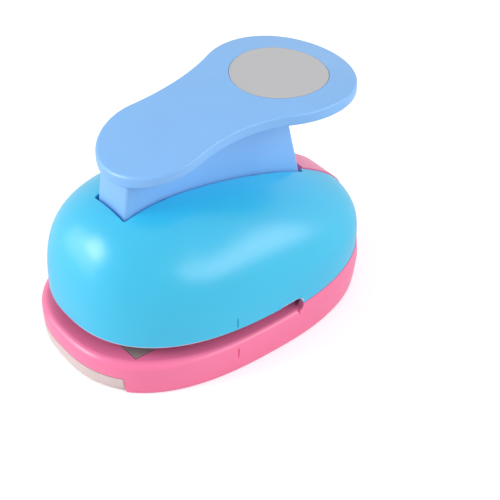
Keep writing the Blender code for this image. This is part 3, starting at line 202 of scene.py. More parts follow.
class PunchSizes(bpy.types.PropertyGroup):
    """Sizes of the moulded pieces that can be changed without leaving the frame's box."""
    rim_radius: length("Housing rim radius", "Rounding of the housing's lower edge", 0.3 * MM)
    throat_edge: length("Throat edge radius", "Rounding of the housing's edge over the throat",
                        0.45 * MM)
    upstand_fillet: length("Upstand fillet", "Hollow fillet where the upstand leaves the deck",
                           1.8 * MM)
    plate_edge: length("Lever edge radius", "Rounding of the lever plate's edges", 1.0 * MM)
    web_corner: length("Web corner radius", "Rounding of the lever web's corners", 1.1 * MM)
    slot_edge: length("Slot edge radius", "Rounding of the edge along the lever slot", 0.25 * MM)
    slot_corner: length("Slot corner radius", "Rounding of the lever slot's corners", 1.0 * MM)
    badge_rim: length("Badge rim", "Width of the bright rim on the thumb disc", 0.5 * MM)
    lip_step: length("Tray lip step", "How far the tray's lower band stands back", 0.8 * MM)
    mark_width: length("Centre mark width", "Width of the cut's centre marks", 0.6 * MM)
    mark_depth: length("Centre mark depth", "Depth of the cut's centre marks", 0.4 * MM)


class PunchColours(bpy.types.PropertyGroup):
    """Colours of the moulded pieces, the disc, the tray and the floor."""
    base: colour("Base", "Pink moulded ABS", "FA79A5")
    housing: colour("Housing", "Cyan moulded ABS", "34C1EA")
    # The rim colour is a painted highlight: the nearly white line along the rounded housing edge
    # over the throat
    rim: colour("Housing rim", "Painted highlight on the cyan ABS edge over the throat", "EDE6FA")
    lever: colour("Lever", "Periwinkle moulded ABS", "80B9F3")
    badge: colour("Disc", "Grey foil disc", "BFBFC1")
    tray: colour("Tray", "Natural polypropylene", "F2DEDC")
    floor: colour("Floor", "Pale table top", "F2F2F3")


def sizes():
    return bpy.context.scene.punch_sizes


def colours():
    return bpy.context.scene.punch_colours


# Mesh tools

def link(name, bm):
    """Makes an object of the mesh and links it to the scene."""
    mesh = bpy.data.meshes.new(name)
    bm.to_mesh(mesh)
    bm.free()
    obj = bpy.data.objects.new(name, mesh)
    bpy.context.scene.collection.objects.link(obj)
    return obj


def skin(bm, rings):
    """Joins rings of points, lowest first, into walls; returns the rings of vertices."""
    made = [[bm.verts.new(point) for point in ring] for ring in rings]
    for low, high in zip(made, made[1:]):
        for i in range(len(low)):
            j = (i + 1) % len(low)
            bm.faces.new((low[i], low[j], high[j], high[i]))
    return made


def cap(bm, ring, upward):
    """Closes a ring that mirrors across X with strips that run from side to side."""
    count = len(ring)
    for i in range(count // 2):
        corners = []
        for vert in (ring[i], ring[i + 1], ring[(count - i - 1) % count],
                     ring[(count - i) % count]):
            if vert not in corners:
                corners.append(vert)
        bm.faces.new(corners if upward else corners[::-1])


def loft(name, rings):
    """A closed body through mirrored rings, lowest ring first."""
    bm = bmesh.new()
    made = skin(bm, rings)
    cap(bm, made[0], False)
    cap(bm, made[-1], True)
    return link(name, bm)


def oval(reach, exponent, z, inset=0.0, steps=OVAL_STEPS):
    """Points of an egg-shaped oval about OVAL_Y, from its front tip round by +X."""
    half_width, front, rear = [size - inset for size in reach]
    points = []
    for i in range(steps):
        turn = 2 * pi * i / steps - pi / 2
        across, along = cos(turn), sin(turn)
        x = copysign(abs(across) ** (2 / exponent), across) * half_width
        y = copysign(abs(along) ** (2 / exponent), along) * (front if along < 0 else rear)
        points.append(Vector((x, OVAL_Y + y, z)))
    return points


def blocks(name, pairs):
    """One mesh of boxes, each given as low and high corners."""
    bm = bmesh.new()
    for low, high in pairs:
        made = bmesh.ops.create_cube(bm, size=1.0)["verts"]
        bmesh.ops.scale(bm, vec=[b - a for a, b in zip(low, high)], verts=made)
        bmesh.ops.translate(bm, vec=[(a + b) / 2 for a, b in zip(low, high)], verts=made)
    return link(name, bm)


def upright_rounded(name, half_width, reach, radius, low, high, steps=6):
    """An upright block with round corners, mirrored across X."""
    right = []
    for middle, start in ((reach[0] + radius, -90.0), (reach[1] - radius, 0.0)):
        for step in range(steps + 1):
            turn = radians(start + 90.0 * step / steps)
            right.append((half_width - radius + radius * cos(turn),
                          middle + radius * sin(turn)))
    points = [(0, reach[0])] + right + [(0, reach[1])] + [(-x, y) for x, y in right[::-1]]
    return loft(name, [[Vector((x, y, z)) for x, y in points] for z in (low, high)])


def rods(name, columns, steps=ROUND_STEPS):
    """One mesh of upright cylinders, each given as x, y, radius, low z, high z."""
    bm = bmesh.new()
    for x, y, radius, low, high in columns:
        made = bmesh.ops.create_cone(bm, cap_ends=True, segments=steps, radius1=radius,
                                     radius2=radius, depth=high - low)["verts"]
        bmesh.ops.translate(bm, vec=(x, y, (low + high) / 2), verts=made)
    return link(name, bm)


def cross_rod(name, y, z, radius, half_width):
    """A cylinder along X."""
    bm = bmesh.new()
    bmesh.ops.create_cone(bm, cap_ends=True, segments=ROUND_STEPS, radius1=radius,
                          radius2=radius, depth=2 * half_width)
    bmesh.ops.rotate(bm, matrix=Matrix.Rotation(pi / 2, 3, "Y"), verts=bm.verts)
    bmesh.ops.translate(bm, vec=(0, y, z), verts=bm.verts)
    return link(name, bm)


def prism(name, outline, half_width):
    """An outline of y and z pairs, carried from -X to +X."""
    bm = bmesh.new()
    face = bm.faces.new([bm.verts.new((-half_width, y, z)) for y, z in outline])
    made = bmesh.ops.extrude_face_region(bm, geom=[face])["geom"]
    moved = [item for item in made if isinstance(item, bmesh.types.BMVert)]
    bmesh.ops.translate(bm, vec=(2 * half_width, 0, 0), verts=moved)
    bmesh.ops.recalc_face_normals(bm, faces=bm.faces)
    return link(name, bm)


def applied(obj):
    """Fixes an object's modifiers in its mesh."""
    graph = bpy.context.evaluated_depsgraph_get()
    mesh = bpy.data.meshes.new_from_object(obj.evaluated_get(graph))
    obj.modifiers.clear()
    obj.data = mesh
    return obj


def combine(target, tool, operation="DIFFERENCE"):
    """Cuts the tool from the target, or adds it, and removes the tool."""
    mod = target.modifiers.new(operation, "BOOLEAN")
    mod.operation = operation
    mod.solver = "EXACT"
    mod.object = tool
    applied(target)
    bpy.data.objects.remove(tool, do_unlink=True)
    return target


def rounded(obj, width, segments=2, angle=40.0):
    """Breaks an object's sharp edges."""
    mod = obj.modifiers.new("edge", "BEVEL")
    mod.width = width
    mod.segments = segments
    mod.limit_method = "ANGLE"
    mod.angle_limit = radians(angle)
    return applied(obj)


def broken_edge(obj, form, low, high, radius, index=0):
    """Rounds the edges that a cut left on the uncut form between two heights.

    The rounding takes the material of the given index."""
    tree = BVHTree.FromPolygons([v.co for v in form.vertices],
                                [p.vertices for p in form.polygons])
    bm = bmesh.new()
    bm.from_mesh(obj.data)
    on_form = {v for v in bm.verts
               if low < v.co.z < high and tree.find_nearest(v.co)[3] < EDGE_MATCH}
    edges = [e for e in bm.edges
             if e.verts[0] in on_form and e.verts[1] in on_form and len(e.link_faces) == 2
             and e.calc_face_angle() > radians(50.0)]
    made = bmesh.ops.bevel(bm, geom=edges, offset=radius, offset_type="OFFSET", segments=3,
                           profile=0.5, affect="EDGES", clamp_overlap=False)
    for face in made["faces"]:
        face.material_index = index
    bm.to_mesh(obj.data)
    bm.free()


def finished(obj, mat, body, node, form=None, edge=None):
    """Shades a piece, gives it its materials, ties it to its body and hides the frame's node that
    it stands for.

    Where the uncut form is given, faces that lie on it take its smooth normals."""
    mesh = obj.data
    mesh.materials.append(mat)
    if edge is not None:
        mesh.materials.append(edge)
    mesh.shade_smooth()
    mesh.set_sharp_from_angle(angle=radians(32.0))
    if form is not None:
        follow_form(mesh, form)
    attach(obj, body)
    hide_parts(node)
    return obj


def follow_form(mesh, form):
    """Takes the uncut form's normals wherever a face still lies on it."""
    tree = BVHTree.FromPolygons([v.co for v in form.vertices],
                                [p.vertices for p in form.polygons])
    corner_normals = [Vector(n.vector) for n in mesh.corner_normals]
    for polygon in mesh.polygons:
        spot, normal, index, far = tree.find_nearest(polygon.center)
        if far is None or far > FACE_MATCH or normal.dot(polygon.normal) < 0.97:
            continue
        for loop in polygon.loop_indices:
            vertex = mesh.vertices[mesh.loops[loop].vertex_index].co
            spot, normal, index, far = tree.find_nearest(vertex)
            if far > FACE_MATCH:
                continue
            face = form.polygons[index]
            total, weight = Vector(), 0.0
            for corner in face.vertices:
                near = 1.0 / ((form.vertices[corner].co - vertex).length + 1e-7)
                total += Vector(form.vertices[corner].normal) * near
                weight += near
            smooth = (total / weight).normalized()
            if smooth.dot(polygon.normal) > 0.9:
                corner_normals[loop] = smooth
    mesh.normals_split_custom_set([tuple(n) for n in corner_normals])


# Materials

def add_node(owner, kind, inputs=None, feeds=None, **settings):
    """Adds a shader node with its settings, its fixed inputs and what feeds the others."""
    node = owner.node_tree.nodes.new(kind)
    for name, value in settings.items():
        setattr(node, name, value)
    for name, value in (inputs or {}).items():
        node.inputs[name].default_value = value
    for name, socket in (feeds or {}).items():
        owner.node_tree.links.new(socket, node.inputs[name])
    return node


def new_material(name, inputs):
    """A Principled material with its fixed values set."""
    mat = bpy.data.materials.new(name)
    mat.use_nodes = True
    shader = mat.node_tree.nodes["Principled BSDF"]
    for socket, value in inputs.items():
        shader.inputs[socket].default_value = value
    return mat, shader


def per(size_mm):
    """Texture scale at which one feature measures this many millimetres."""
    return 1.0 / (size_mm * MM)


def tint(base, share):
    """A colour made lighter or darker by a share."""
    return tuple(min(1.0, value * share) for value in base) + (1.0,)


def noise(mat, size_mm, detail, roughness=0.5, stretch=(1.0, 1.0, 1.0)):
    """Value of a noise texture that lies still on the piece; stretch is 1 along the axes
    that its features cross and small along the axis that they follow."""
    place = add_node(mat, "ShaderNodeTexCoord")
    along = add_node(mat, "ShaderNodeMapping", {"Scale": stretch},
                     {"Vector": place.outputs["Object"]})
    texture = add_node(mat, "ShaderNodeTexNoise", {
        "Scale": per(size_mm), "Detail": detail, "Roughness": roughness},
        {"Vector": along.outputs["Vector"]})
    return texture.outputs["Fac"]


def vary_colour(mat, shader, value, base, dark, light, low=0.0, high=1.0):
    """Base colour from a dark to a light share of the colour, as a value goes from low to high."""
    shade = add_node(mat, "ShaderNodeValToRGB", feeds={"Fac": value})
    first, last = shade.color_ramp.elements
    first.position, last.position = low, high
    first.color, last.color = tint(base, dark), tint(base, light)
    mat.node_tree.links.new(shade.outputs["Color"], shader.inputs["Base Color"])


def vary_gloss(mat, shader, value, smooth, rough, low=0.0, high=1.0):
    """Roughness from smooth to rough, as a value goes from low to high."""
    gloss = add_node(mat, "ShaderNodeMapRange", {
        "From Min": low, "From Max": high, "To Min": smooth, "To Max": rough},
        {"Value": value})
    mat.node_tree.links.new(gloss.outputs["Result"], shader.inputs["Roughness"])


def add_relief(mat, shader, value, strength, depth_mm):
    """Fine relief that follows a value."""
    relief = add_node(mat, "ShaderNodeBump", {"Strength": strength, "Distance": depth_mm * MM},
                      {"Height": value})
    mat.node_tree.links.new(relief.outputs["Normal"], shader.inputs["Normal"])


def moulded_abs(name, base, roughness):
    """ABS, injection moulded in a satin tool: an even colour that is a little paler where the
    flow fronts met, soft wide highlights, and a fine pebble from the tool's spark finish."""
    mat, shader = new_material(name, {"IOR": 1.54, "Specular IOR Level": 0.55})
    flow = noise(mat, size_mm=26.0, detail=2.0)
    vary_colour(mat, shader, flow, base, dark=0.97, light=1.02, low=0.3, high=0.7)
    # The real pebble is about 0.1 mm; it is drawn coarser so that it shows
    pebble = noise(mat, size_mm=0.5, detail=3.0)
    vary_gloss(mat, shader, pebble, roughness - 0.02, roughness + 0.02, low=0.3, high=0.7)
    add_relief(mat, shader, pebble, strength=0.05, depth_mm=0.015)
    return mat


def natural_polypropylene(name, base):
    """Polypropylene, moulded thin and left uncoloured: milky, lets some light through, with
    faint flow streaks along its length."""
    mat, shader = new_material(name, {"IOR": 1.49, "Transmission Weight": 0.22})
    streaks = noise(mat, size_mm=2.0, detail=4.0, stretch=(0.2, 1.0, 1.0))
    vary_colour(mat, shader, streaks, base, dark=0.94, light=1.04)
    vary_gloss(mat, shader, streaks, smooth=0.28, rough=0.42)
    add_relief(mat, shader, streaks, strength=0.08, depth_mm=0.05)
    return mat


def printed_foil(name, base):
    """Aluminium foil laminate, matt lacquered: flat grey with a very fine tooth, so it takes
    a broad soft sheen but no clear reflection."""
    mat, shader = new_material(name, {"Metallic": 0.0, "IOR": 1.5, "Specular IOR Level": 0.45})
    tooth = noise(mat, size_mm=0.3, detail=2.0)
    vary_colour(mat, shader, tooth, base, dark=0.96, light=1.04)
    vary_gloss(mat, shader, tooth, smooth=0.42, rough=0.55)
    add_relief(mat, shader, tooth, strength=0.06, depth_mm=0.02)
    return mat


def worked_steel(name, code, smooth, rough, line_mm, stretch, metallic=1.0, depth_mm=0.02):
    """Steel with the fine lines of its working; stretch is as in noise."""
    mat, shader = new_material(name, {"Metallic": metallic})
    lines = noise(mat, line_mm, detail=4.0, roughness=0.65, stretch=stretch)
    vary_colour(mat, shader, lines, linear(code), dark=0.88, light=1.06, low=0.25, high=0.75)
    vary_gloss(mat, shader, lines, smooth, rough, low=0.3, high=0.7)
    add_relief(mat, shader, lines, strength=0.15, depth_mm=depth_mm)
    return mat


def turned_acetal(name, code):
    """Acetal, turned from rod: waxy off-white with faint rings from the tool."""
    mat, shader = new_material(name, {"IOR": 1.48})
    place = add_node(mat, "ShaderNodeTexCoord")
    rings = add_node(mat, "ShaderNodeTexWave", {"Scale": per(0.4) / 20, "Distortion": 0.4},
                     {"Vector": place.outputs["Object"]}, bands_direction="X").outputs["Fac"]
    vary_colour(mat, shader, rings, linear(code), dark=0.97, light=1.0)
    vary_gloss(mat, shader, rings, smooth=0.40, rough=0.50)
    return mat


def centre_marks(half_width, levels):
    """Two small upright grooves, one on each side, in line with the cut's centre."""
    s = sizes()
    depth = half_width * WIDTH_AT_PUNCH - s.mark_depth
    low, high = PUNCH_Y - s.mark_width / 2, PUNCH_Y + s.mark_width / 2
    return blocks("marks", [((left, low, levels[0]), (right, high, levels[1]))
                            for left, right in ((depth, BESIDE), (-BESIDE, -depth))])


# Base

def base_rings(inset, bottom):
    """Rings of the base's outer form up to the deck."""
    rings = [oval([size - FOOT_EDGE for size in FOOT], BELLY_EXPONENT, bottom, inset),
             oval([size - FOOT_EDGE * 0.3 for size in FOOT], BELLY_EXPONENT,
                  bottom + FOOT_EDGE * 0.3, inset),
             oval(FOOT, BELLY_EXPONENT, bottom + FOOT_EDGE, inset)]
    for step in range(1, 9):
        share = step / 8
        reach = [a + (b - a) * sqrt(share) for a, b in zip(FOOT, BELLY)]
        rings.append(oval(reach, BELLY_EXPONENT, max(BELLY_HEIGHT * share,
                                                     bottom + FOOT_EDGE * 1.5), inset))
    for step in range(1, 11):
        turn = radians(9.0 * step)
        pull = DECK_INSET * (1 - cos(turn))
        power = BELLY_EXPONENT + (DECK_EXPONENT - BELLY_EXPONENT) * step / 10
        lift = (DECK_HEIGHT - BELLY_HEIGHT) * sin(turn)
        rings.append(oval([size - pull for size in BELLY], power, BELLY_HEIGHT + lift, inset))
    return rings


def spine_outline():
    """Side outline of the spine: the housing's rear curve and the same curve set inwards."""
    outer, inner = [], []
    count = 48
    for step in range(count):
        level = pi / 2 * step / count
        point = dome_point(pi / 2, level, 0.0)
        if point.y > SLOT_Y[1] + GAP:
            outer.append((point.y, point.z))
            below = dome_point(pi / 2, level, SPINE_THICKNESS)
            inner.append((below.y, below.z))
    foot = DECK_HEIGHT - DECK_THICKNESS / 2
    outer.insert(0, (OVAL_Y + SEAM_REAR - GAP, foot))
    inner.insert(0, (OVAL_Y + SEAM_REAR - SPINE_THICKNESS, foot))
    return outer + inner[::-1]


def upstand_front(radius):
    """Side outline of the space before the upstand, with a hollow fillet at the deck."""
    outline = [(-BEFORE, 0), (THROAT_END_Y - radius, 0)]
    for step in range(9):
        turn = radians(90.0) * step / 8
        outline.append((THROAT_END_Y - radius + radius * sin(turn),
                        DECK_HEIGHT + radius * (1 - cos(turn))))
    return outline + [(THROAT_END_Y, SEAM_HEIGHT + OVERRUN),
                      (-BEFORE, SEAM_HEIGHT + OVERRUN)]


def centre(box):
    return (box[0][0] + box[1][0]) / 2, (box[0][1] + box[1][1]) / 2


def build_base():
    """The pink base with its deck, upstand and spine, hollow from below."""
    s = sizes()
    base = loft("base_body", base_rings(0.0, 0.0))
    upstand = loft("upstand", [oval(BELLY, BELLY_EXPONENT, BELLY_HEIGHT),
                               oval((DOME[0], DOME[1], SEAM_REAR), DOME_EXPONENT,
                                    SEAM_HEIGHT)])
    combine(upstand, prism("front", upstand_front(s.upstand_fillet), BESIDE))
    form = base.data.copy()
    combine(base, upstand, "UNION")

    above = loft("above", [oval((DOME[0], DOME[1], SEAM_REAR), DOME_EXPONENT, z, BASE_WALL)
                           for z in (DECK_HEIGHT, SEAM_HEIGHT + OVERRUN)])
    bosses = [centre(box) for box in HOUSING_SCREWS]
    combine(above, rods("deck_bosses", [(x, y, BASE_BOSS_RADIUS, DECK_HEIGHT - DECK_THICKNESS,
                                         SEAM_HEIGHT) for x, y in bosses]))
    combine(base, above)

    ceiling = DECK_HEIGHT - DECK_THICKNESS
    low, high = DIE_BOX
    ledge = low[2] - GAP - DIE_LEDGE
    space = loft("space", [oval(FOOT, BELLY_EXPONENT, z, BASE_WALL)
                           for z in (-OVERRUN, ceiling)])
    combine(space, blocks("ledge", [((low[0] - DIE_MARGIN, low[1] - DIE_MARGIN, ledge),
                                     (high[0] + DIE_MARGIN, high[1] + DIE_MARGIN,
                                      ceiling + OVERRUN))]))
    rail_in = TRAY_HALF_WIDTH + GAP
    rail_out = rail_in + RAIL_THICKNESS
    stop = TRAY_REAR_Y + GAP
    rails = blocks("rails", [((-rail_out, RAIL_FRONT_Y, RAIL_FOOT),
                              (rail_out, stop + RAIL_STOP, ceiling + OVERRUN))])
    combine(rails, blocks("rail_space", [((-rail_in, RAIL_FRONT_Y - OVERRUN, 0),
                                          (rail_in, stop, ledge))]))
    combine(space, rails)
    combine(space, rods("bosses", [(x, y, BASE_BOSS_RADIUS, BASE_BOSS_FOOT,
                                    ceiling + OVERRUN) for x, y in bosses]))
    combine(base, space)
    combine(base, rods("bores", [(x, y, SCREW_HEAD_BORE, -OVERRUN, SCREW_HEAD_TOP)
                                 for x, y in bosses]))
    combine(base, rods("holes", [(x, y, SCREW_HOLE, 0, SEAM_HEIGHT + OVERRUN)
                                 for x, y in bosses]))
    window = CUT_RADIUS + DIE_MARGIN
    combine(base, blocks("pocket", [((low[0] - GAP, low[1] - GAP, low[2] - GAP),
                                     (high[0] + GAP, high[1] + GAP, DECK_HEIGHT + OVERRUN))]))
    combine(base, blocks("window", [((-window, PUNCH_Y - window, 0),
                                     (window, PUNCH_Y + window, DECK_HEIGHT))]))
    combine(base, rods("rivet_holes", [(*centre(box), RIVET_ROOM, 0, DECK_HEIGHT)
                                       for box in RIVETS]))
    opening = TRAY_LIP_HALF_WIDTH + GAP
    combine(base, blocks("tray_opening", [((-opening, -BEFORE, -OVERRUN),
                                           (opening, RAIL_FRONT_Y, TRAY_TOP + GAP))]))
    flange = TRAY_LIFT + FLANGE_RISE
    groove = (flange - GAP, flange + FLANGE_THICKNESS + GAP)
    reach = TRAY_HALF_WIDTH + FLANGE_REACH + GAP
    combine(base, blocks("grooves", [
        ((-reach, RAIL_FRONT_Y - OVERRUN, groove[0]), (-TRAY_HALF_WIDTH, stop, groove[1])),
        ((TRAY_HALF_WIDTH, RAIL_FRONT_Y - OVERRUN, groove[0]), (reach, stop, groove[1]))]))
    combine(base, centre_marks(BELLY[0], BASE_MARK))
    combine(base, prism("spine", spine_outline(), SPINE_HALF_WIDTH), "UNION")
    return base, form


# Housing

def dome_point(turn, level, inset):
    """A point on the housing's skin; level 0 is the belt and pi/2 the crown."""
    half_width = DOME[0] - inset
    across, along = cos(turn), sin(turn)
    reach = (DOME[1] if along < 0 else DOME[2]) - inset
    x = copysign(abs(across) ** (2 / DOME_EXPONENT), across) * half_width
    y = copysign(abs(along) ** (2 / DOME_EXPONENT), along) * reach
    share = ((1 + along) / 2 - DOME_BLEND_START) / DOME_BLEND_SPAN
    share = min(max(share, 0.0), 1.0)
    share = share * share * (3 - 2 * share)
    power = DOME_FRONT_ROUND + (DOME_REAR_ROUND - DOME_FRONT_ROUND) * share
    flat, rise = abs(cos(level)), abs(sin(level))
    norm = (flat ** power + rise ** power) ** (1 / power)
    x, y = x * flat / norm, y * flat / norm
    top = (DOME_CREST_HEIGHT - inset - (y - DOME_CREST_Y) ** 2 / (2 * DOME_CREST_RADIUS)
           - x ** 2 / (2 * DOME_CROSS_RADIUS))
    z = DOME_BELT + (top - DOME_BELT) * rise / norm
    return Vector((x, OVAL_Y + y, z))


def dome_body(name, inset, bottom, edge, rows):
    """The housing's outer form, or with an inset the space inside it, as a closed body."""
    turns = [2 * pi * i / OVAL_STEPS - pi / 2 for i in range(OVAL_STEPS)]
    rings = []
    tuck = DOME_RIM_TUCK
    if edge > 0:
        for step in range(5):
            turn = radians(90.0) * step / 4
            pull = tuck + edge * (1 - sin(turn)) * 0.6
            rings.append(oval(DOME, DOME_EXPONENT, bottom + edge * 0.6 * (1 - cos(turn)),
                              inset + pull))
    else:
        rings.append(oval(DOME, DOME_EXPONENT, bottom, inset + tuck))
    for row in range(rows):
        # Rows are evenly spaced in level, from the belt up towards the crown
        level = pi / 2 * row / rows
        rings.append([dome_point(turn, level, inset) for turn in turns])
    bm = bmesh.new()
    made = skin(bm, rings)
    cap(bm, made[0], False)
    crown = bm.verts.new(dome_point(0.0, pi / 2, inset))
    last = made[-1]
    for i in range(OVAL_STEPS):
        bm.faces.new((last[i], last[(i + 1) % OVAL_STEPS], crown))
    return link(name, bm)


def throat_outline():
    """Side outline of the paper throat: open to the front, rounded at its upper end."""
    floor = DECK_HEIGHT - OVERRUN
    outline = [(-BEFORE, floor), (THROAT_END_Y, floor)]
    middle = (THROAT_END_Y - THROAT_END_RADIUS, THROAT_TOP - THROAT_END_RADIUS)
    for step in range(13):
        turn = radians(90.0) * step / 12
        outline.append((middle[0] + THROAT_END_RADIUS * cos(turn),
                        middle[1] + THROAT_END_RADIUS * sin(turn)))
    outline.append((-BEFORE, THROAT_TOP))
    return outline


def build_housing():
    """The cyan housing with its slot, throat, ribs and bosses."""
    s = sizes()
    bottom = SEAM_HEIGHT + SEAM_GAP
    housing = dome_body("housing_body", 0.0, bottom, s.rim_radius, DOME_ROWS)
    form = housing.data.copy()
    space = dome_body("housing_space", DOME_WALL, bottom - OVERRUN, 0.0, 16)
    slot_half = WEB_HALF_WIDTH + SLOT_SIDE_GAP
    rib = (slot_half + GAP, slot_half + GAP + RIB_THICKNESS)
    to_front, to_rear, below = RIB_REACH
    combine(space, blocks("ribs", [
        ((min(pair), PIVOT_Y - to_front, PIVOT_Z - below),
         (max(pair), PIVOT_Y + to_rear, DOME_CREST_HEIGHT))
        for pair in (rib, (-rib[0], -rib[1]))]))
    guide_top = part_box("guide_plate")[1][2]
    combine(space, rods("bosses", [(*centre(box), HOUSING_BOSS_RADIUS, SEAM_HEIGHT + GAP,
                                    DOME_CREST_HEIGHT) for box in HOUSING_SCREWS]))
    combine(space, rods("plate_bosses", [(*centre(box), PLATE_BOSS_RADIUS, guide_top + GAP,
                                          DOME_CREST_HEIGHT) for box in PLATE_SCREWS]))
    combine(housing, space)
    pilots = [(*centre(box), SCREW_HOLE, box[0][2] - OVERRUN, box[1][2] + GAP)
              for box in HOUSING_SCREWS + PLATE_SCREWS]
    combine(housing, rods("pilots", pilots, 24))
    combine(housing, prism("throat", throat_outline(), BESIDE))
    slot = upright_rounded("slot", slot_half, SLOT_Y, s.slot_corner, SLOT_FLOOR,
                           DOME_CREST_HEIGHT + OVERRUN)
    combine(slot, blocks("spine_slot", [
        ((-SPINE_HALF_WIDTH - GAP, SLOT_Y[1] - OVERRUN, SEAM_HEIGHT - OVERRUN),
         (SPINE_HALF_WIDTH + GAP, DOME[2] + OVERRUN, DOME_CREST_HEIGHT))]), "UNION")
    combine(housing, slot)
    combine(housing, cross_rod("pivot_hole", PIVOT_Y, PIVOT_Z, PIVOT_PIN_RADIUS + GAP,
                               rib[1] + GAP))
    combine(housing, centre_marks(DOME[0], HOUSING_MARK))
    above_rim, above_throat = bottom + 0.5 * MM, THROAT_TOP + 0.1 * MM
    # Material index 1 gives this rounding the rim colour, a painted highlight
    broken_edge(housing, form, above_rim, above_throat, s.throat_edge, 1)
    broken_edge(housing, form, SLOT_EDGE_FLOOR, DOME_CREST_HEIGHT, s.slot_edge)
    return housing, form


# Lever

def plate_top(y):
    """Height of the lever plate's upper face, a wide arc that tips up to the rear."""
    along = y - OVAL_Y
    return PLATE_HEIGHT + PLATE_SLOPE * along - along ** 2 / (2 * PLATE_BEND_RADIUS)


def paddle(inset, drop, cap_steps=36, flank_steps=20):
    """Ring of the lever plate: two end arcs joined by hollow flanks, from the front tip."""
    front = PLATE_FRONT[0] - inset
    rear = PLATE_REAR[0] - inset
    flank = PLATE_FLANK_RADIUS + inset
    front_y, rear_y = PLATE_FRONT[1], PLATE_REAR[1]
    span = rear_y - front_y
    to_front, to_rear = front + flank, rear + flank
    along = (span ** 2 + to_front ** 2 - to_rear ** 2) / (2 * span)
    centre_x = sqrt(to_front ** 2 - along ** 2)
    centre_y = front_y + along
    join_front = Vector((centre_x, centre_y - front_y)).normalized()
    join_rear = Vector((centre_x, centre_y - rear_y)).normalized()
    start = Vector((0, -1)).angle(join_front)
    right = []
    for step in range(cap_steps):
        turn = start * step / cap_steps
        right.append((front * sin(turn), front_y - front * cos(turn)))
    sweep = join_front.angle(join_rear)
    low = Vector((1, 0)).angle(join_front)
    for step in range(flank_steps + 1):
        turn = low - sweep * step / flank_steps
        right.append((centre_x - flank * cos(turn), centre_y - flank * sin(turn)))
    end = Vector((0, 1)).angle(join_rear)
    for step in range(1, cap_steps + 1):
        turn = end * (1 - step / cap_steps)
        right.append((rear * sin(turn), rear_y + rear * cos(turn)))
    ring = [Vector((x, y, plate_top(y) - drop)) for x, y in right]
    ring += [Vector((-p.x, p.y, p.z)) for p in ring[-2:0:-1]]
    return ring


def disc_ring(radius, drop, steps=96):
    """Round ring that follows the lever plate's upper face."""
    points = []
    for i in range(steps):
        turn = 2 * pi * i / steps - pi / 2
        x, y = radius * cos(turn), BADGE_Y + radius * sin(turn)
        points.append(Vector((x, y, plate_top(y) - drop)))
    return points


def web_top(front, rear, drop, steps=12):
    """Points from rear to front at a given depth below the plate's upper face."""
    return [(y, plate_top(y) - drop)
            for y in (rear + (front - rear) * step / steps for step in range(steps + 1))]


def web_outline():
    """Side outline of the lever's web, with the pivot boss at its lower front."""
    top = web_top(WEB_FRONT_TOP_Y, WEB_REAR_TOP_Y, PLATE_THICKNESS / 2)
    across, up = WEB_FRONT_TOP_Y - PIVOT_Y, top[-1][1] - PIVOT_Z
    start = atan2(up, across) + acos(PIVOT_BOSS_RADIUS / hypot(across, up))
    outline = []
    for step in range(25):
        turn = start + (pi * 3 / 4) * step / 24
        outline.append((PIVOT_Y + PIVOT_BOSS_RADIUS * cos(turn),
                        PIVOT_Z + PIVOT_BOSS_RADIUS * sin(turn)))
    along, below = ROLLER_CHEEK
    outline += [(ROLLER[0] - along, ROLLER[1] - below),
                (ROLLER[0] + along, ROLLER[1] - below), WEB_RISE, WEB_REAR_FOOT]
    return outline + top


def web_space_outline():
    """Side outline of the hollow inside the web, open downwards."""
    low = PIVOT_Z - PIVOT_BOSS_RADIUS - OVERRUN
    front = PIVOT_Y - PIVOT_BOSS_RADIUS + WEB_WALL
    rear = WEB_REAR_FOOT[0] - WEB_WALL
    return [(front, PIVOT_Z), (front, low), (rear, low), (rear, WEB_REAR_FOOT[1])] + web_top(
        WEB_FRONT_TOP_Y + WEB_WALL, WEB_REAR_TOP_Y - WEB_WALL, PLATE_THICKNESS + WEB_CEILING)


def build_lever():
    """The periwinkle lever: curved paddle plate on a hollow web."""
    s = sizes()
    edge = s.plate_edge
    rings = []
    for step in range(7):
        turn = radians(15.0 * step)
        rings.append(paddle(edge * (1 - sin(turn)), PLATE_THICKNESS - edge * (1 - cos(turn))))
    for step in range(7):
        turn = radians(90.0 - 15.0 * step)
        rings.append(paddle(edge * (1 - sin(turn)), edge * (1 - cos(turn))))
    lever = loft("lever_body", rings)
    form = lever.data.copy()
    web = rounded(prism("web", web_outline(), WEB_HALF_WIDTH), s.web_corner, 4, 60.0)
    combine(lever, web, "UNION")
    combine(lever, prism("web_space", web_space_outline(), WEB_HALF_WIDTH - WEB_WALL))
    combine(lever, cross_rod("pin_hole", PIVOT_Y, PIVOT_Z, PIVOT_PIN_RADIUS + GAP,
                             WEB_BORE_REACH))
    combine(lever, cross_rod("roller_hole", ROLLER[0], ROLLER[1], ROLLER_PIN_RADIUS + GAP,
                             WEB_BORE_REACH))
    seat = BADGE_THICKNESS - BADGE_PROUD + GAP
    combine(lever, loft("seat", [disc_ring(BADGE_RADIUS + BADGE_PLAY, seat),
                                 disc_ring(BADGE_RADIUS + BADGE_PLAY, -OVERRUN)]))
    return lever, form


def build_badge():
    """The grey disc: a flat face inside a narrow rolled rim."""
    proud, rim = BADGE_PROUD, sizes().badge_rim
    rings = [disc_ring(BADGE_RADIUS, BADGE_THICKNESS - proud)]
    for step in range(7):
        turn = radians(30.0 * step)
        rings.append(disc_ring(BADGE_RADIUS - rim / 2 * (1 - cos(turn)),
                               proud - proud * (1 + sin(turn))))
    rings.append(disc_ring(BADGE_RADIUS - rim - proud, BADGE_HOLLOW))
    return loft("badge_disc", rings)


# Tray

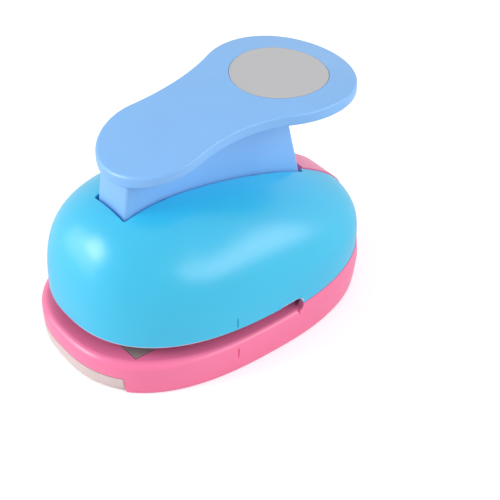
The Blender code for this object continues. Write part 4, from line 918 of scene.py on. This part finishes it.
def build_tray():
    """The catch tray: a floor and low walls behind a lip that follows the base's front."""
    s = sizes()
    lip_back = RAIL_FRONT_Y - GAP
    tray = loft("tray_body", base_rings(0.0, TRAY_LIFT))
    combine(tray, blocks("lip", [((-TRAY_LIP_HALF_WIDTH, -BEFORE, 0),
                                  (TRAY_LIP_HALF_WIDTH, lip_back, TRAY_TOP))]), "INTERSECT")
    band = loft("band", [oval([size + OVERRUN for size in FOOT], BELLY_EXPONENT, z)
                         for z in (-OVERRUN, TRAY_BAND_TOP)])
    combine(band, loft("band_core", [oval(FOOT, BELLY_EXPONENT, z, s.lip_step)
                                     for z in (-2 * OVERRUN, 2 * OVERRUN)]))
    combine(tray, band)
    form = loft("tray_form", [oval(FOOT, BELLY_EXPONENT, z, BASE_WALL + GAP)
                              for z in (TRAY_LIFT, TRAY_TOP)])
    combine(form, blocks("tray_block", [((-TRAY_HALF_WIDTH, -BEFORE, 0),
                                         (TRAY_HALF_WIDTH, TRAY_REAR_Y, DECK_HEIGHT))]),
            "INTERSECT")
    combine(tray, form, "UNION")
    flange = TRAY_LIFT + FLANGE_RISE
    reach = TRAY_HALF_WIDTH + FLANGE_REACH
    combine(tray, blocks("flange", [((-reach, lip_back - TRAY_WALL, flange),
                                     (reach, TRAY_REAR_Y, flange + FLANGE_THICKNESS))]),
            "UNION")
    space = loft("tray_space", [oval(FOOT, BELLY_EXPONENT, z, TRAY_LIP_WALL)
                                for z in (TRAY_LIFT + TRAY_FLOOR, TRAY_TOP + OVERRUN)])
    inner = TRAY_HALF_WIDTH - TRAY_WALL
    combine(space, blocks("space_block", [((-inner, -BEFORE, 0),
                                           (inner, TRAY_REAR_Y - TRAY_WALL, DECK_HEIGHT))]),
            "INTERSECT")
    combine(tray, space)
    return tray


class PUNCH_OT_base(bpy.types.Operator):
    """Builds the pink base and gives it its finish"""
    bl_idname = "punch.base"
    bl_label = "Base"

    def execute(self, context):
        base, form = build_base()
        finished(base, moulded_abs("pink moulded ABS", colours().base, 0.30),
                 "base", "base_shell", form)
        return {"FINISHED"}


class PUNCH_OT_housing(bpy.types.Operator):
    """Builds the cyan housing and gives it its finish"""
    bl_idname = "punch.housing"
    bl_label = "Housing"

    def execute(self, context):
        housing, form = build_housing()
        # The edge over the throat takes a nearly white colour, a painted highlight along its
        # rounding
        edge = moulded_abs("cyan moulded ABS, painted edge highlight", colours().rim, 0.30)
        finished(housing, moulded_abs("cyan moulded ABS", colours().housing, 0.30),
                 "base", "top_housing", form, edge)
        return {"FINISHED"}


class PUNCH_OT_lever(bpy.types.Operator):
    """Builds the periwinkle lever and its grey disc"""
    bl_idname = "punch.lever"
    bl_label = "Lever and disc"

    def execute(self, context):
        lever, form = build_lever()
        finished(lever, moulded_abs("periwinkle moulded ABS", colours().lever, 0.32),
                 "lever", "lever", form)
        finished(build_badge(), printed_foil("matt lacquered foil", colours().badge),
                 "lever", "lever_badge")
        return {"FINISHED"}


class PUNCH_OT_tray(bpy.types.Operator):
    """Builds the translucent catch tray"""
    bl_idname = "punch.tray"
    bl_label = "Catch tray"

    def execute(self, context):
        finished(build_tray(), natural_polypropylene("natural polypropylene", colours().tray),
                 "tray", "catch_tray")
        return {"FINISHED"}


class PUNCH_OT_mechanism(bpy.types.Operator):
    """Gives the steel and acetal pieces of the frame their finishes"""
    bl_idname = "punch.mechanism"
    bl_label = "Steel and acetal pieces"

    def execute(self, context):
        # Tool steel, surface ground and oiled: straight lines along the plate under a dull film
        # that scatters part of the light. The warm pinkish grey of its colour is a painted
        # reflection of the pink deck around it
        ground = worked_steel("ground tool steel, painted deck reflection", "C9B2B0", smooth=0.42, rough=0.58,
                              line_mm=0.35, stretch=(0.04, 1.0, 1.0), metallic=0.5)
        # Steel turned on a lathe: lines run round the piece
        turned = worked_steel("turned steel", "B4B4B6", smooth=0.22, rough=0.36,
                              line_mm=0.30, stretch=(0.3, 0.3, 1.0))
        # Mild steel, zinc plated: pale, a little blue, finely pitted
        zinc = worked_steel("zinc plated steel", "C2C6CC", smooth=0.30, rough=0.46,
                            line_mm=0.50, stretch=(1.0, 1.0, 1.0), depth_mm=0.03)
        # Drawn wire: bright, with short lines from turn to turn
        wire = worked_steel("drawn spring wire", "9C9DA0", smooth=0.20, rough=0.34,
                            line_mm=0.25, stretch=(1.0, 1.0, 0.6))
        acetal = turned_acetal("turned acetal", "ECEBE4")
        finishes = {
            "die_plate": ground, "throat_spacer": ground, "guide_plate": ground,
            "pressure_plate": ground, "punch_cutter": turned, "frame_rivet_left": turned,
            "frame_rivet_right": turned, "guide_post_left": turned,
            "guide_post_right": turned, "punch_screw_left": zinc, "punch_screw_right": zinc,
            "post_clip_left": zinc, "post_clip_right": zinc, "pivot_clip": zinc,
            "pivot_pin": zinc, "roller_pin": zinc, "return_spring_left": wire,
            "return_spring_right": wire, "press_roller": acetal, "wear_pad": acetal}
        for number in range(1, 5):
            finishes["housing_screw_%d" % number] = zinc
            finishes["plate_screw_%d" % number] = zinc
        for name, mat in finishes.items():
            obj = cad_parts[name]
            for slot in obj.material_slots:
                slot.material = mat
        return {"FINISHED"}


# Camera, floor and light

CAMERA_PLACE = (286.6 * MM, -207.3 * MM, 304.7 * MM)
CAMERA_TURN = 51.66
CAMERA_RISE = 39.0
CAMERA_ROLL = 0.07
CAMERA_LENS = 99.2
FLOOR_HALF_SIZE = 1.5
FLOOR_GLOW = 0.35
AMBIENT = 0.5
LAMP_AIM_HEIGHT = 30 * MM

# Name, direction from the punch, width, height, watts
LAMPS = (("front soft box", (-0.36, -0.79, 0.50), 0.40, 0.40, 4.0),
         ("front fill", (-0.55, -0.80, 0.22), 0.8, 0.5, 2.8),
         ("side soft box", (0.695, 0.486, 0.53), 1.3, 0.36, 5.9))


def add_camera():
    """The camera at the photograph's viewing angle."""
    turn, rise = radians(CAMERA_TURN), radians(CAMERA_RISE)
    right = Vector((cos(turn), sin(turn), 0))
    back = Vector((sin(turn) * cos(rise), -cos(turn) * cos(rise), sin(rise)))
    up = back.cross(right)
    matrix = Matrix((right, up, back)).transposed()
    matrix = matrix @ Matrix.Rotation(radians(CAMERA_ROLL), 3, "Z")
    data = bpy.data.cameras.new("camera")
    data.lens = CAMERA_LENS
    data.sensor_width = 36.0
    data.clip_start = 0.01
    camera = bpy.data.objects.new("camera", data)
    camera.matrix_world = Matrix.Translation(CAMERA_PLACE) @ matrix.to_4x4()
    bpy.context.scene.collection.objects.link(camera)
    bpy.context.scene.camera = camera


def add_lamp(name, towards, width, height, watts):
    """A soft box one metre off that faces the punch."""
    data = bpy.data.lights.new(name, "AREA")
    data.shape = "RECTANGLE"
    data.size = width
    data.size_y = height
    data.energy = watts
    lamp = bpy.data.objects.new(name, data)
    direction = Vector(towards).normalized()
    lamp.location = direction + Vector((0, 0, LAMP_AIM_HEIGHT))
    lamp.rotation_euler = direction.to_track_quat("Z", "Y").to_euler()
    bpy.context.scene.collection.objects.link(lamp)


def white_seen(owner):
    """A value that is 1 for camera, glossy and transmission rays and 0 for the rest."""
    path = add_node(owner, "ShaderNodeLightPath")
    seen = add_node(owner, "ShaderNodeMath", feeds={0: path.outputs["Is Camera Ray"],
                                                    1: path.outputs["Is Glossy Ray"]},
                    operation="MAXIMUM")
    return add_node(owner, "ShaderNodeMath", feeds={0: seen.outputs[0],
                                                    1: path.outputs["Is Transmission Ray"]},
                    operation="MAXIMUM")


class PUNCH_OT_stage(bpy.types.Operator):
    """Adds the camera, the pale floor, the soft lamps and the white surroundings"""
    bl_idname = "punch.stage"
    bl_label = "Stage"

    def execute(self, context):
        add_camera()
        bm = bmesh.new()
        bmesh.ops.create_grid(bm, x_segments=8, y_segments=8, size=FLOOR_HALF_SIZE)
        floor = link("floor", bm)
        mat, shader = new_material("matt white laminate", {
            "Base Color": (*colours().floor, 1.0), "Roughness": 0.7,
            "Specular IOR Level": 0.2})
        # The table top reads white to the eye, and still takes the punch's shadow
        path = add_node(mat, "ShaderNodeLightPath")
        glow = add_node(mat, "ShaderNodeEmission", {"Color": (1.0, 1.0, 1.0, 1.0)},
                        {"Strength": add_node(mat, "ShaderNodeMath", {1: FLOOR_GLOW},
                                              {0: path.outputs["Is Camera Ray"]},
                                              operation="MULTIPLY").outputs[0]})
        both = add_node(mat, "ShaderNodeAddShader", feeds={
            0: shader.outputs["BSDF"], 1: glow.outputs["Emission"]})
        mat.node_tree.links.new(both.outputs[0],
                                mat.node_tree.nodes["Material Output"].inputs["Surface"])
        floor.data.materials.append(mat)

        world = bpy.data.worlds.new("studio")
        bpy.context.scene.world = world
        world.use_nodes = True
        light = world.node_tree.nodes["Background"]
        light.inputs["Color"].default_value = (1.0, 1.0, 1.0, 1.0)
        light.inputs["Strength"].default_value = AMBIENT
        white = add_node(world, "ShaderNodeBackground", {"Color": (1.0, 1.0, 1.0, 1.0),
                                                         "Strength": 1.0})
        mix = add_node(world, "ShaderNodeMixShader", feeds={
            0: white_seen(world).outputs[0], 1: light.outputs[0], 2: white.outputs[0]})
        world.node_tree.links.new(mix.outputs[0],
                                  world.node_tree.nodes["World Output"].inputs["Surface"])

        for lamp in LAMPS:
            add_lamp(*lamp)
        bpy.context.scene.view_settings.view_transform = "Standard"
        return {"FINISHED"}


class PUNCH_PT_panel(bpy.types.Panel):
    """Sidebar panel with the punch's sizes, colours and steps"""
    bl_idname = "PUNCH_PT_panel"
    bl_label = "Circle craft punch"
    bl_space_type = "VIEW_3D"
    bl_region_type = "UI"
    bl_category = "Punch"

    def draw(self, context):
        layout = self.layout
        for group in (context.scene.punch_sizes, context.scene.punch_colours):
            for name in group.__annotations__:
                layout.prop(group, name)
        for operator in OPERATORS:
            layout.operator(operator.bl_idname)


OPERATORS = (PUNCH_OT_stage, PUNCH_OT_base, PUNCH_OT_housing, PUNCH_OT_lever,
             PUNCH_OT_tray, PUNCH_OT_mechanism)
CLASSES = (PunchSizes, PunchColours) + OPERATORS + (PUNCH_PT_panel,)


def register():
    for cls in CLASSES:
        bpy.utils.register_class(cls)
    bpy.types.Scene.punch_sizes = PointerProperty(type=PunchSizes)
    bpy.types.Scene.punch_colours = PointerProperty(type=PunchColours)


def unregister():
    del bpy.types.Scene.punch_colours
    del bpy.types.Scene.punch_sizes
    for cls in reversed(CLASSES):
        bpy.utils.unregister_class(cls)


def main():
    register()
    bpy.ops.punch.stage()
    bpy.ops.punch.base()
    bpy.ops.punch.housing()
    bpy.ops.punch.lever()
    bpy.ops.punch.tray()
    bpy.ops.punch.mechanism()
    bpy.context.view_layer.update()


if __name__ == "__main__":
    main()
